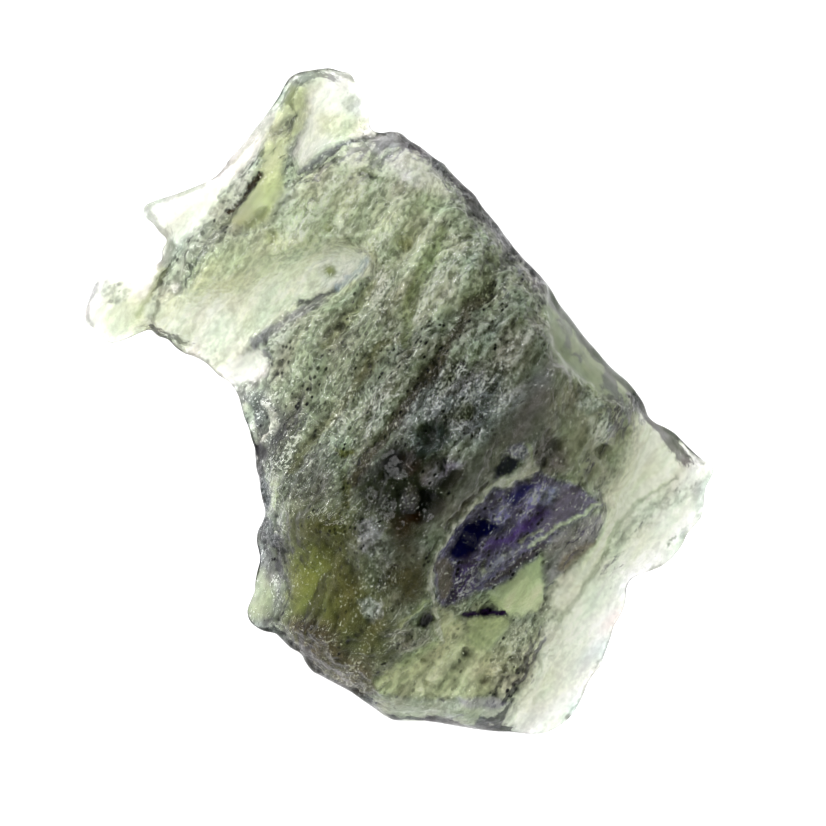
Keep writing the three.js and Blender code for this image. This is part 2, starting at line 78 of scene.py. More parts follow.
# The photograph's width, and the stone's left, right and top in it, in pixels, y downwards.
PHOTO_WIDTH = 826
PHOTO_LEFT, PHOTO_RIGHT = 86.0, 712.6
PHOTO_TOP = 69.6
PIXEL_MM = (STONE_HIGH.x - STONE_LOW.x) / MM / (PHOTO_RIGHT - PHOTO_LEFT)

# Outlines on the plan, in pixels of the photograph, of the fracture scars.
CLEAR_FLAKE = (
    (168, 264), (178, 247), (192, 234), (203, 222), (212, 208), (221, 192), (236, 178), (250, 160),
    (262, 140), (275, 108), (240, 80), (120, 180), (135, 262),
)
PALE_TIP = (
    (283, 70), (306, 90), (308, 112), (306, 128), (299, 140), (297, 155), (300, 171), (316, 158),
    (332, 148), (352, 140), (372, 134), (395, 126), (390, 90), (350, 50), (300, 52),
)
OLIVE_TONGUE = (
    (226, 224), (240, 205), (252, 185), (259, 168), (262, 150), (268, 130), (280, 108), (290, 88),
    (306, 88), (308, 112), (306, 128), (296, 138), (288, 150), (284, 170), (284, 190), (278, 208),
    (268, 222), (255, 229), (238, 229),
)
BRIGHT_FLUTE = (
    (148, 306), (165, 297), (200, 297), (235, 290), (262, 272), (290, 262), (315, 252), (338, 247),
    (358, 250), (367, 258), (366, 268), (352, 281), (338, 291), (318, 300), (300, 307), (285, 319),
    (268, 332), (254, 344), (240, 356), (222, 385), (200, 370), (175, 356), (152, 340),
)
FLUTE_END = (
    (318, 262), (330, 252), (348, 250), (362, 255), (366, 264), (352, 278), (338, 288), (322, 286),
)
WINDOW = (
    (212, 372), (232, 361), (247, 353), (258, 348), (267, 352), (270, 364), (263, 376), (248, 382),
    (226, 384),
)
LOBE = (
    (165, 256), (158, 284), (152, 300), (150, 321), (156, 336), (130, 365), (70, 355), (60, 280),
    (110, 245),
)
RIGHT_FACET = (
    (546, 284), (543, 300), (545, 318), (546, 335), (550, 350), (557, 362), (568, 370), (578, 382),
    (590, 390), (603, 396), (618, 400), (630, 392), (655, 398), (610, 330), (565, 275),
)
WEDGE = (
    (646, 398), (636, 412), (636, 430), (632, 445), (625, 458), (620, 470), (614, 480), (604, 490),
    (600, 500), (610, 507), (600, 522), (596, 540), (585, 552), (572, 566), (558, 580), (553, 592),
    (552, 607), (558, 618), (550, 640), (540, 655), (534, 668), (526, 680), (521, 692), (514, 704),
    (508, 718), (515, 750), (620, 750), (740, 600), (750, 450), (690, 395),
)
# The lens is a hollow; its dark blue-violet tints below are painted shade.
LENS = (
    (531, 472), (515, 480), (497, 487), (480, 498), (465, 512), (452, 526), (446, 540), (438, 551),
    (434, 563), (432, 580), (436, 596), (442, 606), (456, 602), (472, 592), (490, 589), (506, 580),
    (521, 566), (536, 556), (544, 546), (552, 537), (562, 528), (576, 520), (590, 512), (599, 504),
    (590, 494), (578, 487), (564, 481), (548, 477), (540, 472),
)
MAUVE_FACET = (
    (544, 548), (552, 538), (562, 529), (576, 521), (592, 513), (604, 514), (599, 529), (596, 541),
    (584, 550), (570, 563), (556, 577), (548, 586), (543, 572),
)
GREEN_FACET = (
    (490, 592), (507, 582), (522, 568), (540, 557), (544, 575), (543, 596), (537, 609), (521, 615),
    (505, 613), (494, 603),
)
LOWER_GREEN_FACET = (
    (467, 618), (485, 616), (505, 615), (511, 622), (500, 635), (490, 646), (475, 650), (466, 636),
)
FOOT_HOLLOW = (
    (437, 622), (442, 604), (450, 612), (462, 620), (468, 640), (490, 650), (500, 690), (470, 696),
    (440, 697), (400, 695), (380, 691), (376, 682), (392, 668), (406, 654), (422, 644), (438, 638),
)
FOOT_MOTTLED = (
    (492, 645), (508, 626), (528, 622), (541, 640), (538, 660), (528, 684), (512, 697), (494, 694),
    (490, 668),
)

# The etched body's own regions.
UPPER_BODY = (
    (168, 262), (215, 232), (262, 226), (300, 175), (345, 145), (392, 138), (430, 175), (452, 215),
    (440, 262), (415, 310), (385, 350), (345, 395), (312, 428), (285, 430), (268, 395), (290, 335),
    (310, 300), (262, 268), (215, 294), (170, 298),
)
LEFT_MIDDLE = (
    (330, 300), (352, 284), (368, 262), (398, 258), (404, 290), (398, 320), (388, 352), (392, 392),
    (372, 418), (330, 436), (296, 452), (266, 446), (262, 410), (272, 384), (296, 366), (312, 336),
)
SHOULDER = (
    (412, 270), (440, 262), (478, 275), (476, 300), (450, 330), (420, 345), (408, 330), (410, 300),
)
RIGHT_SHOULDER = ((505, 325), (545, 320), (552, 356), (530, 372), (508, 402), (498, 370))
SILVER_LOWER = (
    (418, 376), (440, 364), (505, 372), (506, 400), (480, 440), (452, 440), (430, 428), (420, 415),
    (404, 430), (392, 425), (405, 400),
)
STEP_PALE = (
    (340, 160), (352, 150), (372, 142), (392, 140), (400, 160), (392, 176), (370, 172), (350, 168),
)
SILVER_MIDDLE = (
    (400, 330), (430, 318), (452, 330), (445, 352), (425, 372), (405, 395), (385, 412), (372, 432),
    (352, 446), (346, 430), (362, 405), (378, 380), (390, 355),
)
BUMPY_LEFT = (
    (280, 462), (300, 448), (322, 440), (338, 452), (338, 478), (330, 500), (300, 506), (280, 492),
)
# DARK_MIDDLE, DARK_HEART, DARK_KNOT, DARK_SHELF, MAUVE_SADDLE and TEAL_DIP carry painted shade: the thick
# middle made darker than its thickness makes it.
DARK_MIDDLE = (
    (384, 446), (402, 436), (428, 452), (452, 462), (450, 486), (438, 506), (426, 526), (404, 532),
    (380, 520), (358, 506), (350, 486), (364, 462),
)
DARK_HEART = (
    (404, 500), (412, 492), (424, 487), (438, 490), (447, 499), (445, 510), (432, 520), (418, 524),
    (406, 518), (401, 510),
)
DARK_KNOT = ((381, 460), (388, 448), (398, 446), (406, 456), (404, 470), (394, 478), (384, 474))
DARK_SHELF = ((437, 486), (442, 474), (450, 468), (462, 468), (466, 476), (456, 485), (444, 492))
SILVER_SHELF = (
    (420, 480), (424, 468), (436, 462), (450, 461), (466, 463), (456, 471), (440, 476), (430, 486),
)
SILVER_KNOLL = ((403, 492), (411, 485), (417, 495), (413, 508), (404, 512), (400, 502))
MAUVE_SADDLE = ((404, 452), (414, 450), (421, 460), (418, 472), (408, 474), (403, 464))
TEAL_DIP = ((408, 432), (424, 420), (446, 424), (452, 440), (438, 456), (416, 456))
SMOOTH_BAND = (
    (530, 372), (552, 356), (562, 372), (556, 410), (540, 440), (524, 452), (500, 452), (484, 480),
    (462, 508), (440, 530), (430, 528), (452, 496), (474, 462), (500, 424),
)
RIGHT_GREEN = (
    (560, 372), (590, 395), (620, 405), (632, 420), (628, 450), (612, 478), (588, 484), (566, 476),
    (552, 450), (556, 410),
)
RIGHT_BROWN = ((528, 452), (545, 430), (562, 440), (570, 470), (545, 476), (530, 470))
OLIVE_FLANK = (
    (284, 520), (300, 505), (345, 500), (358, 520), (364, 560), (392, 600), (400, 628), (388, 660),
    (360, 668), (325, 640), (290, 618), (282, 570),
)
OLIVE_GLOW = ((296, 560), (312, 545), (328, 560), (330, 600), (318, 618), (292, 616), (288, 590))
BROWN_FLANK = (
    (285, 622), (300, 614), (328, 622), (345, 645), (372, 668), (384, 690), (370, 702), (345, 690),
    (312, 670), (292, 650),
)
LEFT_BAND = (
    (240, 392), (262, 392), (284, 412), (284, 440), (276, 470), (284, 505), (282, 560), (284, 600),
    (270, 628), (240, 628), (246, 560), (250, 480),
)
LEFT_CHIP = (
    (246, 400), (262, 396), (284, 412), (300, 420), (300, 468), (276, 472), (258, 470), (250, 440),
)
PALE_CORNER = ((248, 568), (264, 566), (273, 590), (270, 614), (254, 620), (246, 610))
PALE_RIM = (
    (372, 138), (392, 133), (405, 140), (420, 153), (445, 180), (452, 195), (430, 196), (405, 182),
    (388, 166), (372, 150),
)
FOOT_BEVEL = (
    (362, 700), (380, 694), (410, 697), (450, 699), (500, 700), (516, 706), (512, 745), (430, 745),
    (360, 722),
)
BEVEL_VIOLET = ((455, 696), (500, 697), (510, 702), (500, 708), (470, 707))
RIGHT_BEVEL = (
    (404, 138), (418, 154), (444, 178), (462, 200), (482, 226), (500, 249), (518, 270), (536, 290),
    (560, 286), (520, 225), (470, 165), (420, 125),
)

# Patches inside the scars and on the body.
# The frost patches' pale specks are partly frost and partly painted glints.
FROST_AND_GLINTS_UPPER = ((357, 519), (372, 516), (382, 524), (380, 548), (372, 558), (362, 548))
FROST_AND_GLINTS_LOWER = ((359, 600), (370, 595), (383, 602), (380, 616), (368, 620))
FROST_AND_GLINTS_FOOT = ((385, 632), (404, 624), (430, 626), (430, 640), (408, 652), (388, 643))
FROST_AND_GLINTS_MIDDLE = ((372, 572), (392, 566), (400, 578), (386, 592), (373, 588))
FROST_AND_GLINTS_RIGHT = ((580, 392), (596, 392), (600, 406), (588, 414), (576, 406))
FROST_AND_GLINTS_GREEN = ((588, 420), (606, 414), (613, 430), (610, 446), (596, 446), (588, 436))
RUST_UPPER = ((384, 518), (410, 516), (422, 530), (416, 556), (392, 556))
RUST_LOWER = ((398, 560), (426, 556), (430, 582), (420, 604), (400, 604), (392, 580))
# The black notch and black chip are painted shade in their hollows.
BLACK_NOTCH = ((414, 624), (424, 611), (434, 607), (436, 620), (426, 628))
BLACK_CHIP = ((255, 442), (262, 443), (268, 452), (267, 462), (259, 459), (255, 450))
SLOT_HALO = ((246, 172), (258, 168), (252, 190), (232, 214), (216, 228), (212, 214), (230, 190))
OLIVE_SLOPE = (
    (187, 291), (202, 270), (218, 256), (244, 240), (269, 233), (306, 242), (290, 252), (266, 260),
    (244, 268), (216, 285), (184, 302),
)
GREY_SLOPE = ((186, 262), (196, 246), (212, 230), (224, 226), (216, 240), (200, 258))
TONGUE_BAND = ((266, 140), (276, 124), (292, 114), (307, 112), (304, 126), (288, 134), (272, 144))
TIP_CORNER = ((289, 86), (296, 76), (318, 72), (328, 76), (322, 92), (306, 100), (292, 100))
TIP_PATCH = ((344, 99), (356, 96), (362, 106), (354, 114), (344, 110))
TIP_FOOT = ((318, 118), (345, 112), (368, 120), (368, 130), (345, 138), (322, 136))
FLUTE_YELLOW = (
    (166, 300), (200, 288), (240, 272), (268, 262), (290, 262), (262, 282), (225, 298), (190, 308),
    (170, 318),
)
LOBE_GREY = ((100, 292), (108, 282), (124, 282), (131, 292), (124, 304), (106, 306))
LOBE_YELLOW = ((104, 318), (124, 300), (140, 298), (146, 312), (150, 328), (124, 340), (106, 338))
# Painted shade in the cup's hollow.
CUP = (
    (492, 478), (492, 466), (499, 458), (508, 454), (517, 459), (517, 467), (508, 474), (500, 480),
)
CUP_FROST_AND_GLINTS = ((500, 456), (508, 446), (522, 442), (528, 450), (520, 460), (508, 454))
CREST = (
    (497, 483), (506, 476), (520, 468), (528, 458), (534, 460), (537, 470), (530, 477), (515, 482),
    (503, 488),
)
LENS_SHADOW = (
    (452, 538), (456, 527), (470, 519), (486, 514), (494, 520), (508, 522), (502, 532), (480, 538),
    (478, 553), (464, 560), (448, 556),
)
LENS_SHADOW_TOP = (
    (504, 502), (510, 492), (520, 485), (531, 481), (533, 488), (522, 497), (514, 505),
)
LENS_VIOLET = (
    (482, 552), (490, 540), (506, 536), (520, 522), (540, 506), (548, 512), (534, 526), (518, 540),
)
LENS_SILVER = ((488, 520), (492, 508), (503, 502), (510, 508), (508, 518), (498, 523))
LENS_SILVER_RIGHT = ((524, 502), (529, 491), (541, 485), (556, 491), (553, 503), (540, 507))
LENS_MAUVE = (
    (546, 480), (576, 488), (598, 503), (582, 516), (562, 526), (546, 536), (534, 530), (550, 510),
    (556, 496),
)
LENS_FOOT = ((450, 600), (454, 562), (470, 556), (482, 562), (476, 582), (468, 597))
BROWN_SLIVER = ((436, 562), (446, 556), (453, 566), (450, 592), (442, 600), (437, 590))
MAUVE_BROWN = (
    (557, 570), (561, 556), (575, 547), (590, 540), (598, 539), (591, 550), (577, 561), (564, 572),
)
GREEN_FACET_SHADE = (
    (492, 590), (508, 580), (524, 566), (540, 557), (538, 568), (520, 580), (502, 594),
)
PALE_PATCH = ((553, 602), (557, 590), (566, 586), (570, 594), (563, 604), (556, 607))
WEDGE_SHADE = (
    (708, 474), (690, 482), (668, 490), (650, 502), (634, 514), (616, 530), (604, 548), (598, 562),
    (610, 556), (630, 540), (648, 526), (668, 512), (690, 500), (706, 488),
)
WEDGE_FACETS = (
    (541, 628), (556, 616), (566, 622), (560, 648), (546, 672), (532, 694), (526, 690), (536, 664),
)
WEDGE_GREY_FOOT = ((530, 696), (540, 684), (552, 686), (548, 698), (534, 704))
RIM_GREY = ((694, 484), (704, 480), (706, 500), (698, 520), (692, 508))
RIM_GREY_LOWER = ((680, 528), (690, 524), (688, 536), (680, 544))

# Lines on the plan, in pixels of the photograph.
TIP_EDGE = ((287, 86), (294, 76), (310, 71), (326, 70), (343, 74), (353, 80))
TIP_ARC = ((297, 82), (305, 85), (314, 83))
FLAKE_UPPER_EDGE = ((270, 116), (254, 137), (238, 154), (230, 162))
FLAKE_THIN_EDGE = ((230, 162), (222, 172), (213, 180))
FLAKE_LEFT_EDGE = ((204, 185), (180, 195), (156, 203), (147, 208))
FLAKE_POINT_EDGE = ((148, 210), (156, 223), (165, 234), (172, 246))
FLAKE_NOTCH = ((171, 246), (168, 256), (165, 268))
BEADED_EDGE = (
    (164, 272), (160, 294), (155, 316), (156, 328), (168, 340), (185, 351), (205, 362), (220, 378),
)
LOBE_FOLD = ((163, 270), (152, 292), (139, 316))
LOBE_EDGE = ((98, 282), (90, 300), (88, 315), (94, 326))
DARK_SLOT = ((260, 177), (249, 189), (239, 203), (229, 212))
STEP_SHADE = ((226, 220), (214, 231), (202, 246), (188, 264))
TONGUE_DARK = ((272, 134), (284, 124), (297, 117))
# Painted shade at the olive tongue's lower end.
TONGUE_END_SHADE = ((249, 225), (258, 219), (266, 210))
TONGUE_STRIPE = ((277, 158), (272, 180), (268, 205))
# A painted shadow along the step from the pale tip down to the body, and its tail.
VIOLET_STEP_SHADOW = ((300, 172), (313, 162), (326, 154), (341, 146), (353, 141))
STEP_SHADOW_TAIL = ((353, 141), (366, 137), (382, 134), (398, 132))
# A painted shadow line along the flute's lower edge.
WALL_SHADOW_LINE = ((297, 303), (310, 299), (322, 295), (335, 290))
WALL_SHADE = ((324, 298), (303, 309), (286, 320), (268, 333), (254, 344))
BLUE_RIM = ((337, 288), (349, 279), (359, 270), (365, 261))
DARK_RIM_PITS = ((362, 172), (372, 177), (386, 181))
RIM_STRIP = (
    (405, 141), (421, 152), (440, 165), (458, 182), (478, 206), (500, 236), (522, 264), (540, 284),
)
# The grooves, whose dark tints below are painted shade in them.
MAIN_GROOVE = (
    (480, 300), (466, 308), (456, 330), (443, 352), (430, 370), (415, 390), (402, 410), (386, 434),
    (366, 458), (352, 480),
)
LEFT_GROOVE = (
    (402, 338), (380, 346), (366, 370), (352, 391), (337, 412), (322, 429), (306, 447), (292, 468),
)
SHORT_GROOVE = ((372, 285), (361, 301), (350, 320), (336, 336), (325, 346))
HIGH_GROOVE = ((514, 250), (503, 264), (490, 272), (484, 296))
GREEN_GROOVE = ((441, 232), (428, 256), (418, 280), (410, 302), (405, 345))
OLIVE_ARC = ((335, 448), (343, 454), (352, 450))
OLIVE_DIP = ((343, 473), (345, 488), (347, 503))
RIDGE_LINE = (
    (537, 470), (520, 475), (505, 482), (491, 487), (471, 507), (452, 528), (438, 548), (431, 568),
    (430, 587), (434, 604), (438, 622), (441, 640),
)
RIDGE_SHADOW = ((489, 483), (471, 499), (456, 513), (446, 525))
CREST_TAIL = ((528, 444), (531, 456), (531, 466))
LENS_LOWER_CREST = ((599, 500), (589, 509), (575, 517), (560, 525), (545, 534), (530, 546))
LENS_BAND = ((524, 546), (506, 556), (491, 566), (480, 576))
LENS_BAND_DARK = ((541, 546), (521, 561), (502, 574), (486, 585))
LENS_GLINT = ((520, 540), (530, 535), (540, 530))
PURPLE_STREAK = ((466, 614), (476, 612), (485, 610), (494, 610), (503, 613))
SIDE_RIDGE = ((399, 624), (412, 611), (427, 598))
FACET_CREST = ((546, 286), (544, 305), (545, 330), (551, 350), (563, 367), (580, 383), (604, 397))
CHIP_SWIRL = ((262, 402), (269, 408), (273, 420), (270, 432), (262, 440))
CHIP_SWIRL_OUTER = ((272, 410), (277, 421), (275, 434))
LEFT_STREAK = ((275, 482), (274, 498), (271, 515))
LEFT_STREAK_LOWER = ((276, 550), (281, 562), (286, 574))
LEFT_PALE_EDGE = ((245, 406), (252, 424), (255, 440))
WEDGE_LINE = ((640, 500), (622, 520), (610, 540), (601, 560), (590, 580), (574, 601), (560, 618))
WEDGE_LINE_UPPER = ((676, 478), (656, 490), (640, 500))
WEDGE_HOOK = ((667, 546), (671, 540), (677, 538))
WEDGE_NICK = ((651, 571), (661, 565))
WEDGE_RIM_LINE = ((614, 626), (607, 645), (598, 665), (587, 688), (576, 706), (563, 722))
WEDGE_TOP_EDGE = ((638, 398), (649, 415), (662, 427), (682, 441), (703, 462))
WEDGE_INNER_EDGE = ((668, 434), (676, 446), (690, 458))


class Zone(NamedTuple):
    """A place on the upper face with its own tint and finish, and a soft edge in millimetres."""

    outline: tuple
    tint: tuple
    edge: float
    strength: float
    etched: float
    # pitted is how much painted shade the pits get, and frosted how many pale specks there are, partly frost
    # and partly painted glints.
    pitted: float
    frosted: float
    streaked: float = 0.3


class Line(NamedTuple):
    """A line on the upper face: half width and height in millimetres, cut in where it is negative."""

    path: tuple
    width: float
    tint: tuple
    strength: float = 1.0
    height: float = 0.0
    # frosted sets the pale specks, partly frost and partly painted glints, and pitted sets the painted shade
    # in the pits.
    frosted: float = None
    pitted: float = None


class Spot(NamedTuple):
    """A round mark on the upper face: centre and radius in pixels, height in millimetres."""

    centre: tuple
    radius: float
    tint: tuple
    strength: float = 1.0
    height: float = 0.0


# The etched body where nothing else is said: tint, relief, painted shade in the pits and white frost with
# painted glints.
BODY_TINT = (0.34, 0.38, 0.34)
BODY_FINISH = {"etched": 1.0, "pitted": 0.8, "frosted": 0.7, "streaked": 0.6}
UNDERSIDE_TINT = (0.90, 0.94, 0.84)
UNDERSIDE_FINISH = {"etched": 0.3, "pitted": 0.05, "frosted": 0.05, "streaked": 0.2}

ZONES = (
    Zone(UPPER_BODY, (0.70, 0.76, 0.60), 1.2, 1.0, 0.7, 0.4, 0.95, 0.4),
    Zone(LEFT_MIDDLE, (0.28, 0.31, 0.26), 0.8, 0.85, 0.9, 0.7, 0.9, 0.5),
    Zone(SHOULDER, (0.60, 0.66, 0.56), 0.6, 0.8, 0.9, 0.4, 0.9),
    Zone(RIGHT_SHOULDER, (0.46, 0.47, 0.47), 0.5, 0.7, 0.9, 0.5, 0.9),
    Zone(SILVER_LOWER, (0.13, 0.135, 0.18), 0.5, 0.85, 1.0, 0.9, 1.0),
    Zone(SILVER_MIDDLE, (0.31, 0.325, 0.30), 0.5, 0.8, 1.0, 0.9, 1.0),
    Zone(BUMPY_LEFT, (0.16, 0.155, 0.17), 0.4, 0.8, 0.9, 0.6, 1.0),
    # Painted shade in the thick middle, darker than its thickness gives, from DARK_MIDDLE to TEAL_DIP.
    Zone(DARK_MIDDLE, (0.0012, 0.0008, 0.001), 0.5, 0.95, 0.55, 0.9, 0.35),
    Zone(DARK_HEART, (0.0001, 0.0001, 0.0003), 0.15, 0.99, 0.3, 0.0, 0.1),
    Zone(DARK_KNOT, (0.0001, 0.0001, 0.0002), 0.15, 0.98, 0.3, 0.1, 0.1),
    Zone(SILVER_SHELF, (0.36, 0.33, 0.46), 0.2, 0.9, 0.9, 1.0, 1.0),
    Zone(SILVER_KNOLL, (0.14, 0.12, 0.18), 0.12, 0.9, 0.8, 0.8, 1.0),
    Zone(DARK_SHELF, (0.0001, 0.0002, 0.0003), 0.12, 0.98, 0.3, 0.1, 0.1),
    Zone(MAUVE_SADDLE, (0.03, 0.016, 0.02), 0.2, 0.85, 0.5, 0.7, 0.3),
    Zone(TEAL_DIP, (0.004, 0.014, 0.03), 0.3, 0.9, 0.8, 0.9, 0.4),
    Zone(SMOOTH_BAND, (0.18, 0.16, 0.19), 0.7, 0.9, 0.4, 0.25, 0.35),
    Zone(RIGHT_GREEN, (0.34, 0.34, 0.29), 0.6, 0.9, 0.5, 0.35, 0.45),
    Zone(RIGHT_BROWN, (0.15, 0.10, 0.18), 0.4, 0.8, 0.7, 0.9, 0.5),
    Zone(OLIVE_FLANK, (0.12, 0.11, 0.036), 1.0, 0.95, 0.25, 0.6, 0.6, 0.5),
    Zone(OLIVE_GLOW, (0.22, 0.24, 0.055), 0.9, 0.9, 0.15, 0.2, 0.5, 0.5),
    Zone(BROWN_FLANK, (0.11, 0.07, 0.05), 0.4, 0.9, 0.7, 0.6, 0.8),
    Zone(LEFT_BAND, (0.19, 0.205, 0.215), 0.25, 0.9, 0.7, 0.6, 0.9, 0.6),
    Zone(LEFT_CHIP, (0.07, 0.075, 0.08), 0.3, 0.85, 0.8, 0.7, 0.9, 0.6),
    Zone(PALE_CORNER, (0.28, 0.33, 0.21), 0.25, 0.9, 0.3, 0.1, 0.3),
    Zone(STEP_PALE, (0.98, 1.0, 0.86), 0.25, 0.9, 0.5, 0.1, 0.8),
    Zone(PALE_RIM, (1.0, 1.0, 1.0), 0.25, 1.0, 0.6, 0.1, 0.9),
    Zone(RIGHT_BEVEL, (0.30, 0.29, 0.32), 0.2, 0.85, 0.8, 0.5, 0.9),
    Zone(RIGHT_FACET, (0.30, 0.36, 0.24), 0.1, 0.95, 0.08, 0.0, 0.12),
    Zone(CLEAR_FLAKE, (0.90, 0.92, 0.85), 0.25, 1.0, 0.04, 0.0, 0.0),
    Zone(OLIVE_SLOPE, (0.86, 0.90, 0.60), 0.4, 0.8, 0.5, 0.3, 0.7),
    Zone(GREY_SLOPE, (0.96, 1.0, 0.96), 0.2, 0.9, 0.6, 0.3, 0.9),
    Zone(SLOT_HALO, (0.78, 0.78, 0.68), 0.2, 0.8, 0.6, 0.5, 0.9),
    Zone(PALE_TIP, (0.98, 0.99, 0.95), 0.2, 1.0, 0.12, 0.0, 0.05),
    Zone(TIP_FOOT, (0.75, 0.78, 0.52), 0.3, 0.8, 0.4, 0.2, 0.4),
    Zone(TIP_CORNER, (0.74, 0.78, 0.66), 0.2, 0.7, 0.1, 0.0, 0.1),
    Zone(TIP_PATCH, (0.42, 0.43, 0.36), 0.15, 0.7, 0.4, 0.4, 0.3),
    Zone(OLIVE_TONGUE, (0.48, 0.51, 0.275), 0.25, 0.95, 0.15, 0.1, 0.3, 0.5),
    Zone(TONGUE_BAND, (0.38, 0.38, 0.27), 0.2, 0.7, 0.4, 0.6, 0.4),
    Zone(BRIGHT_FLUTE, (0.92, 0.96, 0.80), 0.35, 0.95, 0.3, 0.1, 0.4),
    Zone(FLUTE_YELLOW, (0.98, 1.0, 0.74), 0.35, 0.9, 0.4, 0.1, 0.8),
    Zone(FLUTE_END, (1.0, 1.0, 1.0), 0.2, 1.0, 0.4, 0.1, 1.15),
    Zone(WINDOW, (1.0, 1.0, 1.0), 0.12, 1.0, 0.0, 0.0, 0.0),
    Zone(LOBE, (0.90, 0.90, 0.83), 0.2, 1.0, 0.1, 0.0, 0.1),
    Zone(LOBE_YELLOW, (0.85, 0.87, 0.62), 0.2, 0.8, 0.2, 0.0, 0.2),
    Zone(LOBE_GREY, (0.42, 0.42, 0.38), 0.12, 0.7, 0.5, 0.6, 0.3),
    Zone(WEDGE, (0.97, 0.99, 0.93), 0.35, 1.0, 0.15, 0.05, 0.15),
    Zone(WEDGE_SHADE, (0.70, 0.78, 0.68), 0.25, 0.85, 0.5, 0.4, 0.6),
    Zone(WEDGE_FACETS, (0.96, 1.0, 1.0), 0.3, 0.9, 0.4, 0.3, 0.4),
    Zone(WEDGE_GREY_FOOT, (0.90, 0.94, 0.84), 0.12, 0.8, 0.2, 0.1, 0.3),
    Zone(RIM_GREY, (0.45, 0.48, 0.44), 0.12, 0.8, 0.3, 0.3, 0.3),
    Zone(RIM_GREY_LOWER, (0.30, 0.33, 0.31), 0.12, 0.8, 0.3, 0.3, 0.3),
    Zone(FOOT_HOLLOW, (0.76, 0.80, 0.55), 0.2, 0.95, 0.5, 0.5, 0.4, 0.7),
    Zone(FOOT_MOTTLED, (0.66, 0.66, 0.56), 0.25, 0.85, 0.8, 0.7, 0.9, 0.6),
    Zone(FOOT_BEVEL, (0.58, 0.62, 0.60), 0.2, 0.95, 0.4, 0.2, 0.5),
    Zone(BEVEL_VIOLET, (0.42, 0.38, 0.58), 0.12, 0.8, 0.4, 0.3, 0.6),
    Zone(GREEN_FACET, (0.80, 0.92, 0.62), 0.12, 1.0, 0.1, 0.0, 0.05, 0.6),
    Zone(GREEN_FACET_SHADE, (0.42, 0.48, 0.33), 0.12, 0.7, 0.1, 0.0, 0.1),
    Zone(LOWER_GREEN_FACET, (0.55, 0.62, 0.38), 0.16, 0.95, 0.3, 0.3, 0.25, 0.6),
    Zone(MAUVE_FACET, (0.29, 0.26, 0.37), 0.15, 1.0, 0.4, 0.6, 0.6, 0.9),
    Zone(MAUVE_BROWN, (0.19, 0.13, 0.10), 0.1, 0.8, 0.6, 0.6, 0.6),
    # The lens's dark blue-violet tints, in LENS, LENS_VIOLET and LENS_FOOT, are painted shade in its hollow.
    Zone(LENS, (0.13, 0.10, 0.36), 0.15, 1.0, 0.7, 1.0, 0.8, 0.7),
    Zone(LENS_MAUVE, (0.15, 0.11, 0.28), 0.25, 0.9, 0.5, 0.6, 0.5, 0.5),
    Zone(LENS_SILVER_RIGHT, (0.38, 0.36, 0.95), 0.15, 0.8, 0.8, 0.6, 1.05, 0.6),
    Zone(LENS_VIOLET, (0.05, 0.008, 0.32), 0.25, 0.9, 0.5, 0.6, 0.25, 0.6),
    Zone(LENS_SHADOW, (0.0001, 0.0001, 0.04), 0.12, 1.0, 0.4, 0.3, 0.4, 0.8),
    Zone(LENS_SHADOW_TOP, (0.0008, 0.0004, 0.14), 0.12, 0.95, 0.5, 0.3, 0.5, 0.8),
    Zone(LENS_SILVER, (0.24, 0.21, 0.64), 0.15, 0.9, 0.8, 0.8, 1.05, 0.6),
    Zone(LENS_FOOT, (0.04, 0.016, 0.16), 0.2, 0.9, 0.8, 1.0, 1.05, 0.8),
    Zone(BROWN_SLIVER, (0.18, 0.13, 0.15), 0.1, 0.9, 0.5, 0.5, 0.5),
    # Painted shade in the cup.
    Zone(CUP, (0.0001, 0.0001, 0.02), 0.1, 0.98, 0.3, 0.0, 0.2),
    Zone(CUP_FROST_AND_GLINTS, (0.16, 0.15, 0.36), 0.12, 0.7, 0.9, 0.6, 1.0),
    Zone(CREST, (1.0, 1.0, 1.0), 0.12, 1.0, 0.3, 0.15, 0.15, 0.5),
    Zone(PALE_PATCH, (1.0, 1.0, 1.0), 0.1, 1.0, 0.1, 0.0, 0.0),
    # Frost patches: pale specks, partly frost and partly painted glints.
    Zone(FROST_AND_GLINTS_UPPER, (0.34, 0.35, 0.42), 0.12, 0.9, 1.0, 0.8, 1.1),
    Zone(FROST_AND_GLINTS_LOWER, (0.62, 0.62, 0.66), 0.12, 0.9, 1.0, 0.8, 1.1),
    Zone(FROST_AND_GLINTS_FOOT, (0.42, 0.38, 0.40), 0.2, 0.8, 1.0, 0.9, 1.05),
    Zone(FROST_AND_GLINTS_MIDDLE, (0.03, 0.027, 0.02), 0.25, 0.8, 0.8, 0.8, 0.8),
    Zone(FROST_AND_GLINTS_RIGHT, (0.60, 0.66, 0.70), 0.2, 0.8, 0.9, 0.7, 1.3),
    Zone(FROST_AND_GLINTS_GREEN, (0.92, 1.0, 1.0), 0.2, 0.8, 0.9, 0.7, 1.0),
    Zone(RUST_UPPER, (0.03, 0.006, 0.0008), 0.5, 0.85, 0.4, 0.4, 0.3),
    Zone(RUST_LOWER, (0.055, 0.032, 0.002), 0.5, 0.85, 0.4, 0.4, 0.3),
    # Painted shade in the notch and the chip.
    Zone(BLACK_NOTCH, (0.0001, 0.0001, 0.0001), 0.08, 1.0, 0.3, 0.0, 0.0),
    Zone(BLACK_CHIP, (0.0005, 0.0004, 0.001), 0.06, 1.0, 0.3, 0.0, 0.0),
)
